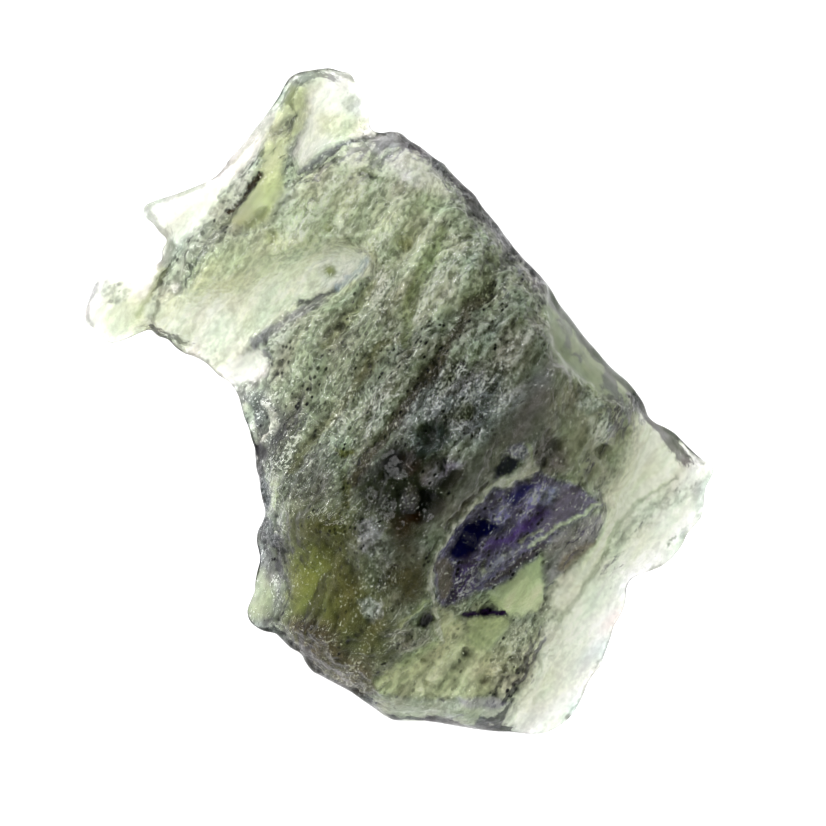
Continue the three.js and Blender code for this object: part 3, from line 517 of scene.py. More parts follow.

# The lines that are cut in are tinted darker than the glass round them: painted shade in their creases and
# grooves.
LINES = (
    Line(RIM_STRIP, 0.20, (0.28, 0.28, 0.29), 0.7),
    Line(TIP_EDGE, 0.12, (0.16, 0.17, 0.14), 0.85),
    Line(TIP_ARC, 0.05, (0.20, 0.21, 0.17), 0.8, -0.02),
    Line(FLAKE_UPPER_EDGE, 0.18, (0.36, 0.34, 0.30), 0.85),
    Line(FLAKE_THIN_EDGE, 0.07, (0.24, 0.24, 0.21), 0.9, 0.02),
    Line(FLAKE_LEFT_EDGE, 0.12, (0.30, 0.31, 0.26), 0.85),
    Line(FLAKE_POINT_EDGE, 0.16, (0.22, 0.22, 0.20), 0.85, -0.03),
    Line(FLAKE_NOTCH, 0.22, (0.16, 0.17, 0.13), 0.9, -0.08),
    Line(BEADED_EDGE, 0.10, (0.14, 0.14, 0.11), 0.8, 0.03, 0.6),
    Line(LOBE_FOLD, 0.15, (0.34, 0.37, 0.20), 0.85, -0.06),
    Line(LOBE_EDGE, 0.09, (0.24, 0.24, 0.23), 0.8),
    Line(STEP_SHADE, 0.20, (0.16, 0.19, 0.13), 0.8, -0.06),
    Line(DARK_SLOT, 0.14, (0.008, 0.005, 0.002), 1.0, -0.05, 0.7, 1.0),
    Line(TONGUE_STRIPE, 0.20, (0.62, 0.68, 0.34), 0.5),
    Line(TONGUE_DARK, 0.14, (0.14, 0.15, 0.09), 0.7, -0.05),
    # Painted shade at the olive tongue's lower end.
    Line(TONGUE_END_SHADE, 0.18, (0.16, 0.18, 0.07), 0.7),
    # Painted shadow along the step below the pale tip, and its tail.
    Line(VIOLET_STEP_SHADOW, 0.12, (0.14, 0.13, 0.20), 0.9, -0.05),
    Line(STEP_SHADOW_TAIL, 0.08, (0.08, 0.08, 0.08), 0.8, -0.04),
    Line(WALL_SHADE, 0.20, (0.17, 0.16, 0.23), 0.85),
    # Painted shadow line along the flute's lower edge.
    Line(WALL_SHADOW_LINE, 0.10, (0.01, 0.008, 0.02), 0.95, -0.04, 0.3),
    Line(BLUE_RIM, 0.16, (0.22, 0.32, 0.48), 0.75, 0.0, 0.8),
    Line(DARK_RIM_PITS, 0.14, (0.10, 0.12, 0.06), 0.7, -0.08),
    Line(MAIN_GROOVE, 0.26, (0.03, 0.014, 0.014), 0.85, -0.08, 0.6, 1.0),
    Line(LEFT_GROOVE, 0.18, (0.15, 0.14, 0.08), 0.75, -0.08),
    Line(SHORT_GROOVE, 0.16, (0.24, 0.27, 0.13), 0.6, -0.06),
    Line(HIGH_GROOVE, 0.16, (0.06, 0.07, 0.06), 0.75, -0.10),
    Line(GREEN_GROOVE, 0.22, (0.26, 0.32, 0.15), 0.7, -0.05, 0.2),
    Line(OLIVE_ARC, 0.13, (0.07, 0.07, 0.01), 0.9, -0.12),
    Line(OLIVE_DIP, 0.15, (0.07, 0.07, 0.01), 0.85, -0.10),
    Line(RIDGE_SHADOW, 0.08, (0.03, 0.02, 0.015), 0.85, -0.10),
    Line(RIDGE_LINE, 0.085, (1.0, 1.0, 0.90), 1.0, 0.08, 0.0, 0.0),
    Line(CREST_TAIL, 0.07, (0.36, 0.40, 0.28), 0.7, 0.05),
    Line(LENS_LOWER_CREST, 0.07, (0.80, 0.86, 0.74), 0.9, 0.06, 0.1, 0.0),
    Line(LENS_BAND, 0.12, (0.34, 0.30, 0.60), 0.85, 0.04, 1.0),
    Line(LENS_BAND_DARK, 0.12, (0.04, 0.025, 0.04), 0.8, -0.08),
    Line(LENS_GLINT, 0.05, (0.60, 0.60, 0.56), 0.8, 0.05),
    Line(PURPLE_STREAK, 0.14, (0.002, 0.0003, 0.015), 1.0, -0.04, 0.2),
    Line(SIDE_RIDGE, 0.08, (0.60, 0.64, 0.42), 0.9, 0.06, 0.0, 0.0),
    Line(FACET_CREST, 0.08, (0.60, 0.66, 0.56), 0.8, 0.05),
    Line(CHIP_SWIRL, 0.08, (0.95, 0.95, 0.95), 0.9, 0.08),
    Line(CHIP_SWIRL_OUTER, 0.05, (0.85, 0.85, 0.85), 0.8, 0.05),
    Line(LEFT_PALE_EDGE, 0.12, (0.72, 0.78, 0.62), 0.8),
    Line(LEFT_STREAK, 0.12, (0.66, 0.74, 0.56), 0.8, 0.05),
    Line(LEFT_STREAK_LOWER, 0.07, (0.60, 0.66, 0.48), 0.7, 0.05),
    Line(WEDGE_LINE, 0.12, (0.22, 0.26, 0.20), 0.7, -0.05),
    Line(WEDGE_LINE_UPPER, 0.07, (0.22, 0.25, 0.20), 0.7, -0.06),
    Line(WEDGE_HOOK, 0.05, (0.10, 0.12, 0.09), 0.9, -0.06),
    Line(WEDGE_NICK, 0.06, (0.20, 0.22, 0.18), 0.8, -0.06),
    Line(WEDGE_RIM_LINE, 0.05, (0.20, 0.22, 0.19), 0.7),
    Line(WEDGE_TOP_EDGE, 0.08, (0.22, 0.25, 0.20), 0.75),
    Line(WEDGE_INNER_EDGE, 0.07, (0.34, 0.38, 0.30), 0.7, 0.03),
)

BUBBLE = Spot((330, 271), 7.5, (0.14, 0.16, 0.05), 1.0, -0.06)
# Painted shade for the dark pits and for the olive pits.
PIT_SHADOW_TINT = (0.0001, 0.0003, 0.0002)
OLIVE_PIT_SHADE = (0.24, 0.27, 0.08)
# The spots that are cut in, the bubble aside, are tinted dark: painted shade in their pits.
SPOTS = (
    BUBBLE,
    Spot((449, 382), 7, PIT_SHADOW_TINT, 0.95, -0.05),
    Spot((459, 366), 8, PIT_SHADOW_TINT, 0.95, -0.05),
    Spot((466, 416), 7, PIT_SHADOW_TINT, 0.9, -0.05),
    Spot((427, 433), 9, PIT_SHADOW_TINT, 0.85, -0.05),
    Spot((431, 363), 6, PIT_SHADOW_TINT, 0.85, -0.05),
    Spot((388, 316), 5, (0.10, 0.11, 0.06), 0.8, -0.10),
    Spot((405, 245), 7, (0.18, 0.20, 0.06), 0.8, -0.10),
    Spot((330, 231), 6, OLIVE_PIT_SHADE, 0.7, -0.06),
    Spot((273, 238), 7, OLIVE_PIT_SHADE, 0.6, -0.06),
    Spot((498, 372), 6, PIT_SHADOW_TINT, 0.85, -0.05),
    Spot((553, 445), 7, PIT_SHADOW_TINT, 0.85, -0.05),
    Spot((601, 451), 7, PIT_SHADOW_TINT, 0.85, -0.05),
    Spot((425, 660), 3.5, (0.08, 0.09, 0.03), 0.9, -0.08),
    Spot((426, 683), 4.0, (0.08, 0.09, 0.03), 0.9, -0.08),
    Spot((418, 655), 2.5, (0.12, 0.13, 0.05), 0.8, -0.06),
    Spot((437, 640), 2.0, (0.08, 0.08, 0.04), 0.8, -0.05),
    Spot((465, 652), 4.5, (0.006, 0.006, 0.004), 1.0, -0.14),
    Spot((484, 680), 5.5, (0.03, 0.02, 0.01), 0.95, -0.14),
    Spot((515, 684), 3.0, (0.04, 0.04, 0.03), 0.9, -0.08),
    Spot((509, 658), 3.5, (0.06, 0.05, 0.03), 0.9, -0.08),
    Spot((505, 668), 3.5, (0.06, 0.05, 0.03), 0.8, -0.08),
    Spot((514, 668), 4.0, (0.55, 0.60, 0.40), 0.8, 0.08),
    Spot((568, 716), 3.0, (0.10, 0.10, 0.08), 0.8),
    Spot((175, 287), 4.5, (0.95, 0.97, 0.92), 0.9),
    Spot((394, 564), 5.0, (0.03, 0.015, 0.02), 0.8, -0.06),
    Spot((483, 570), 3.0, (0.85, 0.85, 0.85), 0.8, 0.05),
)


class StoneSettings(bpy.types.PropertyGroup):
    """Sizes and colours of the stone's glass."""

    upper_grain: FloatProperty(
        name="Upper Grain", description="Spacing of the fine mesh on the upper face", default=0.000083,
        unit="LENGTH",
    )
    under_grain: FloatProperty(
        name="Under Grain", description="Spacing of the fine mesh on the underside", default=0.00016,
        unit="LENGTH",
    )
    pit_width: FloatProperty(
        name="Pit Width", description="Usual distance between etched pits", default=0.00042, unit="LENGTH"
    )
    pit_depth: FloatProperty(
        name="Pit Depth", description="Depth of the larger etched pits", default=0.00011, unit="LENGTH"
    )
    ridge_height: FloatProperty(
        name="Ridge Height", description="Height of the flow ridges", default=0.00011, unit="LENGTH"
    )
    refraction: FloatProperty(
        name="Refraction", description="How strongly the glass bends light", default=1.49
    )
    clearness: FloatProperty(
        name="Clearness", description="Share of light that the surface lets through", default=0.82
    )
    sheen: FloatVectorProperty(
        name="Sheen",
        description="Strength of what the glass mirrors when seen head on",
        subtype="COLOR",
        default=(0.04, 0.04, 0.04),
    )
    depth_colour: FloatVectorProperty(
        name="Depth Colour",
        description="Colour that is left of white light as the glass gets thicker",
        subtype="COLOR",
        default=(0.35, 0.40, 0.13),
    )
    darkening: FloatProperty(
        name="Darkening", description="How fast the glass darkens with thickness, per metre", default=600
    )


class StageSettings(bpy.types.PropertyGroup):
    """Floor, lamps and camera around the stone."""

    floor_glow: FloatProperty(
        name="Floor Glow", description="Brightness of the lit white floor", default=1.25
    )
    key_power: FloatProperty(
        name="Key Power", description="Strength of the main lamp", default=1.5, unit="POWER"
    )
    fill_power: FloatProperty(
        name="Fill Power", description="Strength of each of the two other lamps", default=0.35, unit="POWER"
    )
    air_glow: FloatProperty(
        name="Air Glow", description="Brightness of the pale air near the horizon", default=0.9
    )
    sky_glow: FloatProperty(
        name="Sky Glow", description="Brightness of the air straight above", default=0.05
    )
    lens: FloatProperty(
        name="Lens", description="Focal length of the camera, in millimetres", default=400, unit="CAMERA"
    )


def on_plan(points):
    """Pixels of the photograph as millimetres on the stone's plan."""
    pixels = np.array(points, float)
    x = STONE_LOW.x / MM + (pixels[:, 0] - PHOTO_LEFT) * PIXEL_MM
    y = STONE_HIGH.y / MM - (pixels[:, 1] - PHOTO_TOP) * PIXEL_MM
    return np.stack([x, y], axis=1)


def distance_to_line(places, line, closed):
    """Distance of each place from a line of points, in millimetres."""
    starts, ends = (line, np.roll(line, -1, axis=0)) if closed else (line[:-1], line[1:])
    along = ends - starts
    offset = places[:, None, :] - starts[None]
    share = np.clip((offset * along).sum(2) / (along**2).sum(1), 0, 1)
    return np.sqrt(((offset - share[..., None] * along) ** 2).sum(2)).min(1)


def depth_inside(places, line):
    """How far each place lies inside a closed line, in millimetres, and negative outside it."""
    following = np.roll(line, -1, axis=0)
    x, y = places[:, :1], places[:, 1:]
    spans = (line[:, 1] > y) != (following[:, 1] > y)
    rise = following[:, 1] - line[:, 1]
    rise[rise == 0] = 1e-9
    crossing = line[:, 0] + (y - line[:, 1]) * (following[:, 0] - line[:, 0]) / rise
    inside = (spans & (x < crossing)).sum(1) % 2 == 1
    return np.where(inside, 1, -1) * distance_to_line(places, line, True)


def eased(share):
    """A share between 0 and 1 that starts and ends softly."""
    share = np.clip(share, 0, 1)
    return share * share * (3 - 2 * share)


def within_reach(places, line, reach):
    """Which places lie in a line's box, widened by a reach."""
    low, high = line.min(0) - reach, line.max(0) + reach
    return np.flatnonzero(((places > low) & (places < high)).all(1))


# The solid's corners closer than this, in millimetres, are joined.
WELD_DISTANCE = 0.001


def unfaceted_body(solid):
    """The solid as one closed surface in millimetres."""
    body = bmesh.new()
    body.from_mesh(solid.data)
    bmesh.ops.scale(body, vec=(1 / MM, 1 / MM, 1 / MM), verts=body.verts)
    bmesh.ops.remove_doubles(body, verts=body.verts, dist=WELD_DISTANCE)
    body.normal_update()
    return body


def widest_line(body):
    """The corners of the solid's outline seen from above, in order and anticlockwise."""
    links = {}
    for edge in body.edges:
        rises = [face.normal.z for face in edge.link_faces]
        if min(rises) < 0 < max(rises):
            a, b = edge.verts
            links.setdefault(a, []).append(b)
            links.setdefault(b, []).append(a)
    start = next(iter(links))
    order = [start, links[start][0]]
    while order[-1] is not start:
        before, here = order[-2:]
        a, b = links[here]
        order.append(b if a is before else a)
    order.pop()
    area = sum(p.co.x * q.co.y - q.co.x * p.co.y for p, q in zip(order, order[1:] + order[:1]))
    return order if area > 0 else order[::-1]


def side_edge(line, above):
    """The edge of the solid's side above or below its widest line, corner for corner."""
    taken = set(line)
    edge = []
    for corner in line:
        others = [link.other_vert(corner) for link in corner.link_edges]
        others = [o for o in others if o not in taken and (o.co.z > corner.co.z) == above]
        edge.append(min(others, key=lambda o: (o.co - corner.co).xy.length))
    return edge


def curved(line, pieces):
    """A closed smooth line through the corners of another, with each stretch cut in pieces."""
    points = np.array([corner.co for corner in line])
    a, b, c, d = (np.roll(points, shift, axis=0)[:, None, :] for shift in (1, 0, -1, -2))
    s = (np.arange(pieces) / pieces)[None, :, None]
    curve = 2 * b + (c - a) * s + (2 * a - 5 * b + 4 * c - d) * s**2 + (3 * b - a - 3 * c + d) * s**3
    return (0.5 * curve).reshape(-1, 3)


def tiled(rim, spacing):
    """Places that tile the plan inside a rim, the rim's first, and the triangles between them."""
    low, high = rim.min(0), rim.max(0)
    rows = np.arange(low[1], high[1], spacing * math.sqrt(3) / 2)
    x, y = np.meshgrid(np.arange(low[0], high[0], spacing), rows)
    x = x + spacing / 2 * (np.arange(len(rows)) % 2)[:, None]
    inner = np.stack([x.ravel(), y.ravel()], axis=1)
    near = KDTree(len(rim))
    for index, place in enumerate(rim):
        near.insert((*place, 0), index)
    near.balance()
    room = 0.7 * spacing
    inner = inner[[near.find((*place, 0))[2] > room for place in inner]]
    places = np.concatenate([rim, inner])
    fence = [list(range(len(rim)))]
    _, _, tiles, origins, _, _ = delaunay_2d_cdt([Vector(p) for p in places], [], fence, 1, 1e-7)
    origin = np.array([o[0] for o in origins])
    tiles = origin[np.array(tiles)]
    used = np.union1d(np.arange(len(rim)), tiles)
    renumbered = np.zeros(len(places), int)
    renumbered[used] = np.arange(len(used))
    return places[used], renumbered[tiles]


def struck(tree, places, from_above):
    """Heights at which plumb lines through the places meet the solid, from above or from below."""
    far = 50.0
    start, way = (far, Vector((0, 0, -1))) if from_above else (-far, Vector((0, 0, 1)))
    heights = np.zeros(len(places))
    for index, (x, y) in enumerate(places):
        hit = tree.ray_cast(Vector((x, y, start)), way)[0]
        heights[index] = hit.z if hit else np.nan
    return heights


def edges_between(tiles):
    """The two corners of each edge, once."""
    pairs = np.concatenate([tiles[:, [0, 1]], tiles[:, [1, 2]], tiles[:, [2, 0]]])
    return np.unique(np.sort(pairs, axis=1), axis=0)


def spread(corners, edges, share):
    """Moves each corner a share of the way to the middle of its neighbours."""
    count = len(corners)
    a, b = edges.T
    around = np.bincount(a, minlength=count) + np.bincount(b, minlength=count)
    moved = np.empty_like(corners)
    for axis in range(corners.shape[1]):
        total = np.bincount(a, corners[b, axis], count) + np.bincount(b, corners[a, axis], count)
        moved[:, axis] = total / around
    return corners + share * (moved - corners)


# How the visible stone thins to its rim, in millimetres: a sharp rim's thickness, the thickness up to
# which the solid's rim counts as sharp and from which it stays blunt, and how many millimetres the stone
# may thicken with each millimetre inwards from a sharp rim and from a blunt one.
SHARP_EDGE = 0.08
SHARP_UP_TO, BLUNT_FROM = 0.3, 0.6
TAPER, STEEP = 0.8, 3.0
TAPER_ROUNDS = 60


def tapers(upper, lower):
    """How thick the visible stone is at each place of its rim, and how fast it may thicken from there."""
    thickness = upper[:, 2] - lower[:, 2]
    sharp = 1 - eased((thickness - SHARP_UP_TO) / (BLUNT_FROM - SHARP_UP_TO))
    for _ in range(TAPER_ROUNDS):
        sharp = (np.roll(sharp, 1) + 2 * sharp + np.roll(sharp, -1)) / 4
    return SHARP_EDGE * sharp + thickness * (1 - sharp), TAPER * sharp + STEEP * (1 - sharp)


def drawn_in(edges, rim_thickness):
    """The upper and lower edges of the stone's side, drawn together where the rim is sharp."""
    middle = (edges[0][:, 2] + edges[1][:, 2]) / 2
    for edge, side in zip(edges, (0.5, -0.5)):
        edge[:, 2] = middle + side * rim_thickness


def most_thickness(places, rim, rim_thickness, slope):
    """The most that the visible stone may be thick at places, so that it tapers gently to its rim."""
    most = np.full(len(places), np.inf)
    for place, start, rise in zip(rim[:, :2], rim_thickness, slope):
        most = np.minimum(most, start + rise * np.hypot(*(places - place).T))
    return most


def face_sheet(tree, edge, taper, spacing, from_above, rounds):
    """One face of the stone from small even triangles, with the solid's facets rounded off."""
    places, tiles = tiled(edge[:, :2], spacing)
    count = len(edge)
    above, below = struck(tree, places, True), struck(tree, places, False)
    kept = np.minimum(1, most_thickness(places, edge, *taper) / np.maximum(above - below, 0.01))
    heights = (above + below) / 2 + (0.5 if from_above else -0.5) * (above - below) * kept
    heights[:count] = edge[:, 2]
    heights = heights[:, None]
    edges = edges_between(tiles)
    for _ in range(rounds):
        heights = spread(heights, edges, SMOOTH_SHARE)
        heights[:count, 0] = edge[:, 2]
    return np.concatenate([places, heights], axis=1), tiles


def rows_between(upper, widest, lower, rows):
    """The stone's rounded side, as rows of corners from its upper edge to its lower one, without those."""
    bulge = 2 * widest - 0.5 * (upper + lower)
    shares = np.arange(1, rows) / rows
    return [(1 - s) ** 2 * upper + 2 * s * (1 - s) * bulge + s * s * lower for s in shares]


# Rows of triangles down the side, pieces that each stretch of the rim is cut in, and how often the
# upper face, the underside and then the whole stone are smoothed.
SIDE_ROWS = 9
RIM_PIECES = 5
UPPER_ROUNDS, UNDER_ROUNDS, FACET_ROUNDS = 8, 5, 3
# The share of the way that a corner moves when it is smoothed, and when it is swelled back.
SMOOTH_SHARE, SWELL_SHARE = 0.5, -0.52


def fine_mesh(solid, settings):
    """The solid made again from small triangles: the upper face, the side and the underside."""
    body = unfaceted_body(solid)
    tree = BVHTree.FromBMesh(body)
    line = widest_line(body)
    upper, lower = (curved(side_edge(line, above), RIM_PIECES) for above in (True, False))
    widest = curved(line, RIM_PIECES)
    taper = tapers(upper, lower)
    drawn_in((upper, lower), taper[0])
    top, top_tiles = face_sheet(tree, upper, taper, settings.upper_grain / MM, True, UPPER_ROUNDS)
    under, under_tiles = face_sheet(tree, lower, taper, settings.under_grain / MM, False, UNDER_ROUNDS)
    count = len(widest)
    rows = rows_between(upper, widest, lower, SIDE_ROWS)
    corners = np.concatenate([top, *rows, under])
    under_start = len(corners) - len(under)
    starts = [0] + [len(top) + n * count for n in range(len(rows))] + [under_start]
    here = np.arange(count)
    following = np.roll(here, -1)
    tiles = [top_tiles, under_tiles[:, ::-1] + under_start]
    for high, low in zip(starts[:-1], starts[1:]):
        tiles.append(np.stack([high + here, low + here, low + following], axis=1))
        tiles.append(np.stack([high + here, low + following, high + following], axis=1))
    tiles = np.concatenate(tiles)
    body.free()
    return corners, tiles, tree


def without_facets(corners, edges):
    """Rounds sharp edges off, and swells the shape back so that it keeps its size."""
    for _ in range(FACET_ROUNDS):
        corners = spread(corners, edges, SMOOTH_SHARE)
        corners = spread(corners, edges, SWELL_SHARE)
    return corners


def normals_at(corners, tiles):
    """Outward direction at each corner."""
    a, b, c = (corners[tiles[:, n]] for n in range(3))
    faces = np.cross(b - a, c - a)
    normals = np.zeros_like(corners)
    for n in range(3):
        for axis in range(3):
            normals[:, axis] += np.bincount(tiles[:, n], faces[:, axis], len(corners))
    return normals / np.linalg.norm(normals, axis=1)[:, None]


# The way that the glass flowed, seen from above, and how much its grain is drawn out that way.
FLOW = math.radians(55)
FLOW_STRETCH = 1.5


def along_flow(corners, across_scale, stretch):
    """Places in a space where the flow runs along X and is drawn out."""
    x = (corners[:, 0] * math.cos(FLOW) + corners[:, 1] * math.sin(FLOW)) / stretch
    y = corners[:, 1] * math.cos(FLOW) - corners[:, 0] * math.sin(FLOW)
    return np.stack([x, y, corners[:, 2]], axis=1) / across_scale


def dimples(corners, width, stretch):
    """Round pits packed side by side: 0 on the rims between them, 1 in the middle of each."""
    places = along_flow(corners, width, stretch)
    near = np.array([noise.voronoi(Vector(p))[0][0] for p in places])
    return np.clip(1 - (near / 0.6) ** 2, 0, 1)


def swells(corners, width, stretch, octaves):
    """Soft rises and falls drawn out along the flow, about -1 to 1."""
    places = along_flow(corners, width, stretch)
    return np.array([noise.fractal(Vector(p), 1.0, 2.1, octaves) for p in places])


# Blender's noise starts from the clock where it isn't given a seed.
WANDER_SEED = 1


def wandering(places, reach, size):
    """The places moved about a little, so that edges drawn there come out ragged."""
    noise.seed_set(WANDER_SEED)
    moved = places.copy()
    for index, (x, y) in enumerate(places):
        shift = noise.noise_vector(Vector((x / size, y / size, 0)))
        finer = noise.noise_vector(Vector((3 * x / size, 3 * y / size, 5)))
        moved[index, 0] += reach * (shift.x + 0.5 * finer.x)
        moved[index, 1] += reach * (shift.y + 0.5 * finer.y)
    return moved


def blended(values, index, target, share):
    """Moves some of the values a share of the way to a target."""
    values[index] += share.reshape((-1,) + (1,) * (values.ndim - 1)) * (np.array(target) - values[index])


def plain_look(count, tint, finish):
    """The look of unmarked glass at a number of places."""
    look = {name: np.full(count, value) for name, value in finish.items()}
    look["tint"] = np.tile(np.array(tint), (count, 1))
    look["height"] = np.zeros(count)
    return look


def lay_zone(look, places, zone):
    outline = on_plan(zone.outline)
    index = within_reach(places, outline, zone.edge)
    share = eased(0.5 + 0.5 * depth_inside(places[index], outline) / zone.edge)
    blended(look["tint"], index, zone.tint, zone.strength * share)
    for name in BODY_FINISH:
        blended(look[name], index, getattr(zone, name), share)


def draw_line(look, places, mark):
    path = on_plan(mark.path)
    index = within_reach(places, path, 2 * mark.width)
    away = distance_to_line(places[index], path, False) / mark.width
    share = np.exp(-(away**2) * 1.2)
    blended(look["tint"], index, mark.tint, mark.strength * eased(1.5 * share))
    look["height"][index] += mark.height * share
    for name in ("frosted", "pitted"):
        if getattr(mark, name) is not None:
            blended(look[name], index, getattr(mark, name), share)


def dab_spot(look, places, spot):
    centre = on_plan([spot.centre])
    radius = spot.radius * PIXEL_MM
    index = within_reach(places, centre, 2 * radius)
    away = np.linalg.norm(places[index] - centre, axis=1) / radius
    share = np.exp(-(away**4))
    blended(look["tint"], index, spot.tint, spot.strength * share)
    look["height"][index] += spot.height * share


# How far the edges of marks wander, and over what distance, in millimetres.
RAGGED_REACH, RAGGED_SIZE = 0.12, 0.35


def upper_look(places):
    """Tint, finish and height of every mark at places on the upper face."""
    look = plain_look(len(places), BODY_TINT, BODY_FINISH)
    ragged = wandering(places, RAGGED_REACH, RAGGED_SIZE)
    for zone in ZONES:
        lay_zone(look, ragged, zone)
    for mark in LINES:
        draw_line(look, ragged, mark)
    for spot in SPOTS:
        dab_spot(look, ragged, spot)
    return look


# The darkest that a tint may be.
DARKEST = 0.00005


def weathered(look, corners):
    """Adds bands along the flow, pale with more frost and painted glints or dark with more painted shade in
    the pits, and warmer and cooler clouds.
    """
    bands = swells(corners * (1, 1, 0.2) + 30, 0.55, 5.0, 2)
    streaks = swells(corners * (1, 1, 0.2), 0.25, 7.0, 2)
    shades = [swells(corners + shift, 0.9, 2.0, 2) for shift in (20, 60, 100)]
    level = np.clip(1 + look["streaked"] * (0.9 * bands + 0.4 * streaks), 0.2, 2.0)
    clouds = 1 + (0.07 + 0.05 * look["etched"][:, None]) * np.stack(shades, axis=1)
    look["tint"] = np.clip(look["tint"] * level[:, None] * clouds, DARKEST, 1)
    look["frosted"] = look["frosted"] * np.clip(1 + 0.9 * bands, 0.2, 1.5)
    look["pitted"] = np.clip(look["pitted"] * np.clip(1 - bands, 0.2, 1.7), 0, 1)


def relief(corners, settings):
    """Height of the etched relief at each corner, and how far down in it the corner lies, 0 to 1."""
    coarse = dimples(corners, settings.pit_width / MM, 1.5)
    fine = dimples(corners + 40, 0.55 * settings.pit_width / MM, 1.2)
    ridges = swells(corners, 0.6, 4.0, 3)
    grooves = np.exp(-((swells(corners + 80, 0.7, 5.0, 2) / 0.09) ** 2))
    flow = settings.ridge_height / MM * (ridges - 0.6 * grooves)
    pits = settings.pit_depth / MM * (coarse + 0.45 * fine)
    hollow = np.clip(0.75 * coarse**2 + 0.35 * fine**2 + 0.5 * grooves - 0.25 * ridges, 0, 1)
    return flow - pits, hollow


# Glass thinner than this, in millimetres, has a shallower relief, down to this share of it.
FULL_RELIEF_FROM = 1.2
LEAST_RELIEF = 0.12

# The upward slant from which the surface starts to look like the upper face, and over which it does.
UPPER_FROM, UPPER_OVER = -0.45, 0.4


def carve(corners, tiles, tree, settings):
    """Moves the fine mesh's corners in and out, and gives how each corner looks."""
    edges = edges_between(tiles)
    corners = without_facets(corners, edges)
    normals = normals_at(corners, tiles)
    places = corners[:, :2]
    below = plain_look(len(corners), UNDERSIDE_TINT, UNDERSIDE_FINISH)
    look = upper_look(places)
    facing_up = eased((normals[:, 2] - UPPER_FROM) / UPPER_OVER)
    for name, values in look.items():
        share = facing_up.reshape((-1,) + (1,) * (values.ndim - 1))
        look[name] = below[name] + share * (values - below[name])
    thickness = struck(tree, places, True) - struck(tree, places, False)
    room = np.clip(np.nan_to_num(thickness) / FULL_RELIEF_FROM, LEAST_RELIEF, 1)
    raised, look["hollow"] = relief(corners, settings)
    out = room * (look["etched"] * raised + look["height"])
    weathered(look, corners)
    corners = corners + out[:, None] * normals
    low, high = (np.array(corner) / MM for corner in SOLID_BOX)
    return np.clip(corners, low, high), look


CHANNELS = ("Red", "Green", "Blue")


def stone_mesh(corners, tiles, look):
    """The stone's mesh in metres, with its look kept for the material to read."""
    mesh = bpy.data.meshes.new("moldavite_glass")
    mesh.from_pydata((corners * MM).tolist(), [], tiles.tolist())
    mesh.polygons.foreach_set("use_smooth", [True] * len(mesh.polygons))
    kept = {name: look[name] for name in ("etched", "pitted", "frosted", "hollow")}
    kept.update({f"tint {channel}": look["tint"][:, n] for n, channel in enumerate(CHANNELS)})
    for name, values in kept.items():
        attribute = mesh.attributes.new(name, "FLOAT", "POINT")
        attribute.data.foreach_set("value", values.astype(np.float32))
    mesh.update()
    return mesh


class Weave:
    """Adds nodes to a material, one call each, and joins them up."""

    def __init__(self, material):
        material.use_nodes = True
        self.tree = material.node_tree
        self.tree.nodes.clear()

    def add(self, kind, inputs=(), **values):
        """A node with its plain properties set, and numbers or other nodes' outputs in its sockets."""
        node = self.tree.nodes.new(kind)
        for name, value in values.items():
            setattr(node, name, value)
        for socket, value in dict(inputs).items():
            if isinstance(value, bpy.types.NodeSocket):
                self.tree.links.new(value, node.inputs[socket])
            else:
                node.inputs[socket].default_value = value
        return node

    def reading(self, name):
        """A value kept on the mesh."""
        return self.add("ShaderNodeAttribute", attribute_name=name).outputs["Fac"]

    def stretch(self, value, low, high, to_low=0.0, to_high=1.0):
        """A value's range from low to high, softly turned into another range."""
        inputs = {"Value": value, "From Min": low, "From Max": high, "To Min": to_low, "To Max": to_high}
        return self.add("ShaderNodeMapRange", inputs, interpolation_type="SMOOTHSTEP").outputs["Result"]

    def sum(self, operation, a, b):
        return self.add("ShaderNodeMath", {0: a, 1: b}, operation=operation).outputs["Value"]

    def mixed(self, share, a, b, blend="MIX"):
        inputs = {"Factor": share, 6: a, 7: b}
        return self.add("ShaderNodeMix", inputs, data_type="RGBA", blend_type=blend).outputs[2]


# How finely the glass's small textures are grained, in grains a metre.
HOLE_GRAIN = 4200.0
SPECK_GRAIN = 8500.0
KNOB_GRAIN = 4600.0
SATIN_GRAIN = 2500.0
BUMP_GRAIN = 9000.0

# The bump's height in metres, the painted shade that darkens the pits, the white of the frost and its painted
# glints, and the least roughness.
BUMP_HEIGHT = 0.00004
PIT_SHADE = (0.006, 0.006, 0.012, 1)
FROST_AND_GLINT_WHITE = (0.96, 0.96, 1.0, 1)
SMOOTHEST = 0.035


def glass_material(settings):
    """Green glass: clear and bright on the scars; satin and pitted where it is etched, with painted shade in
    its pits and pale specks that are partly frost and partly painted glints.
    """
    material = bpy.data.materials.new("moldavite glass")
    weave = Weave(material)
    place = weave.add("ShaderNodeTexCoord").outputs["Object"]
    flow = weave.add(
        "ShaderNodeMapping",
        {"Vector": place, "Rotation": (0, 0, FLOW), "Scale": (FLOW_STRETCH, 1, 1)},
        vector_type="TEXTURE",
    ).outputs["Vector"]
    etched = weave.reading("etched")
    holes = small_holes(weave, flow)
    depth = weave.add(
        "ShaderNodeVolumeAbsorption",
        {"Color": (*settings.depth_colour, 1), "Density": settings.darkening},
    )
    surface = weave.add(
        "ShaderNodeBsdfPrincipled",
        {
            "Transmission Weight": settings.clearness,
            "IOR": settings.refraction,
            "Specular Tint": (*settings.sheen, 1),
            "Base Color": glass_tint(weave, flow, holes),
            "Roughness": satin(weave, place, etched),
            "Normal": fine_pitting(weave, place, etched, holes),
        },
    )
    weave.add(
        "ShaderNodeOutputMaterial", {"Surface": surface.outputs["BSDF"], "Volume": depth.outputs["Volume"]}
    )
    return material


def small_holes(weave, flow):
    """1 in the small pits between the knobs, which get painted shade and a dent in the bump, 0 elsewhere."""
    cells = weave.add("ShaderNodeTexVoronoi", {"Vector": flow, "Scale": HOLE_GRAIN}, feature="F1")
    return weave.stretch(cells.outputs["Distance"], 0.2, 0.36, 1.0, 0.0)


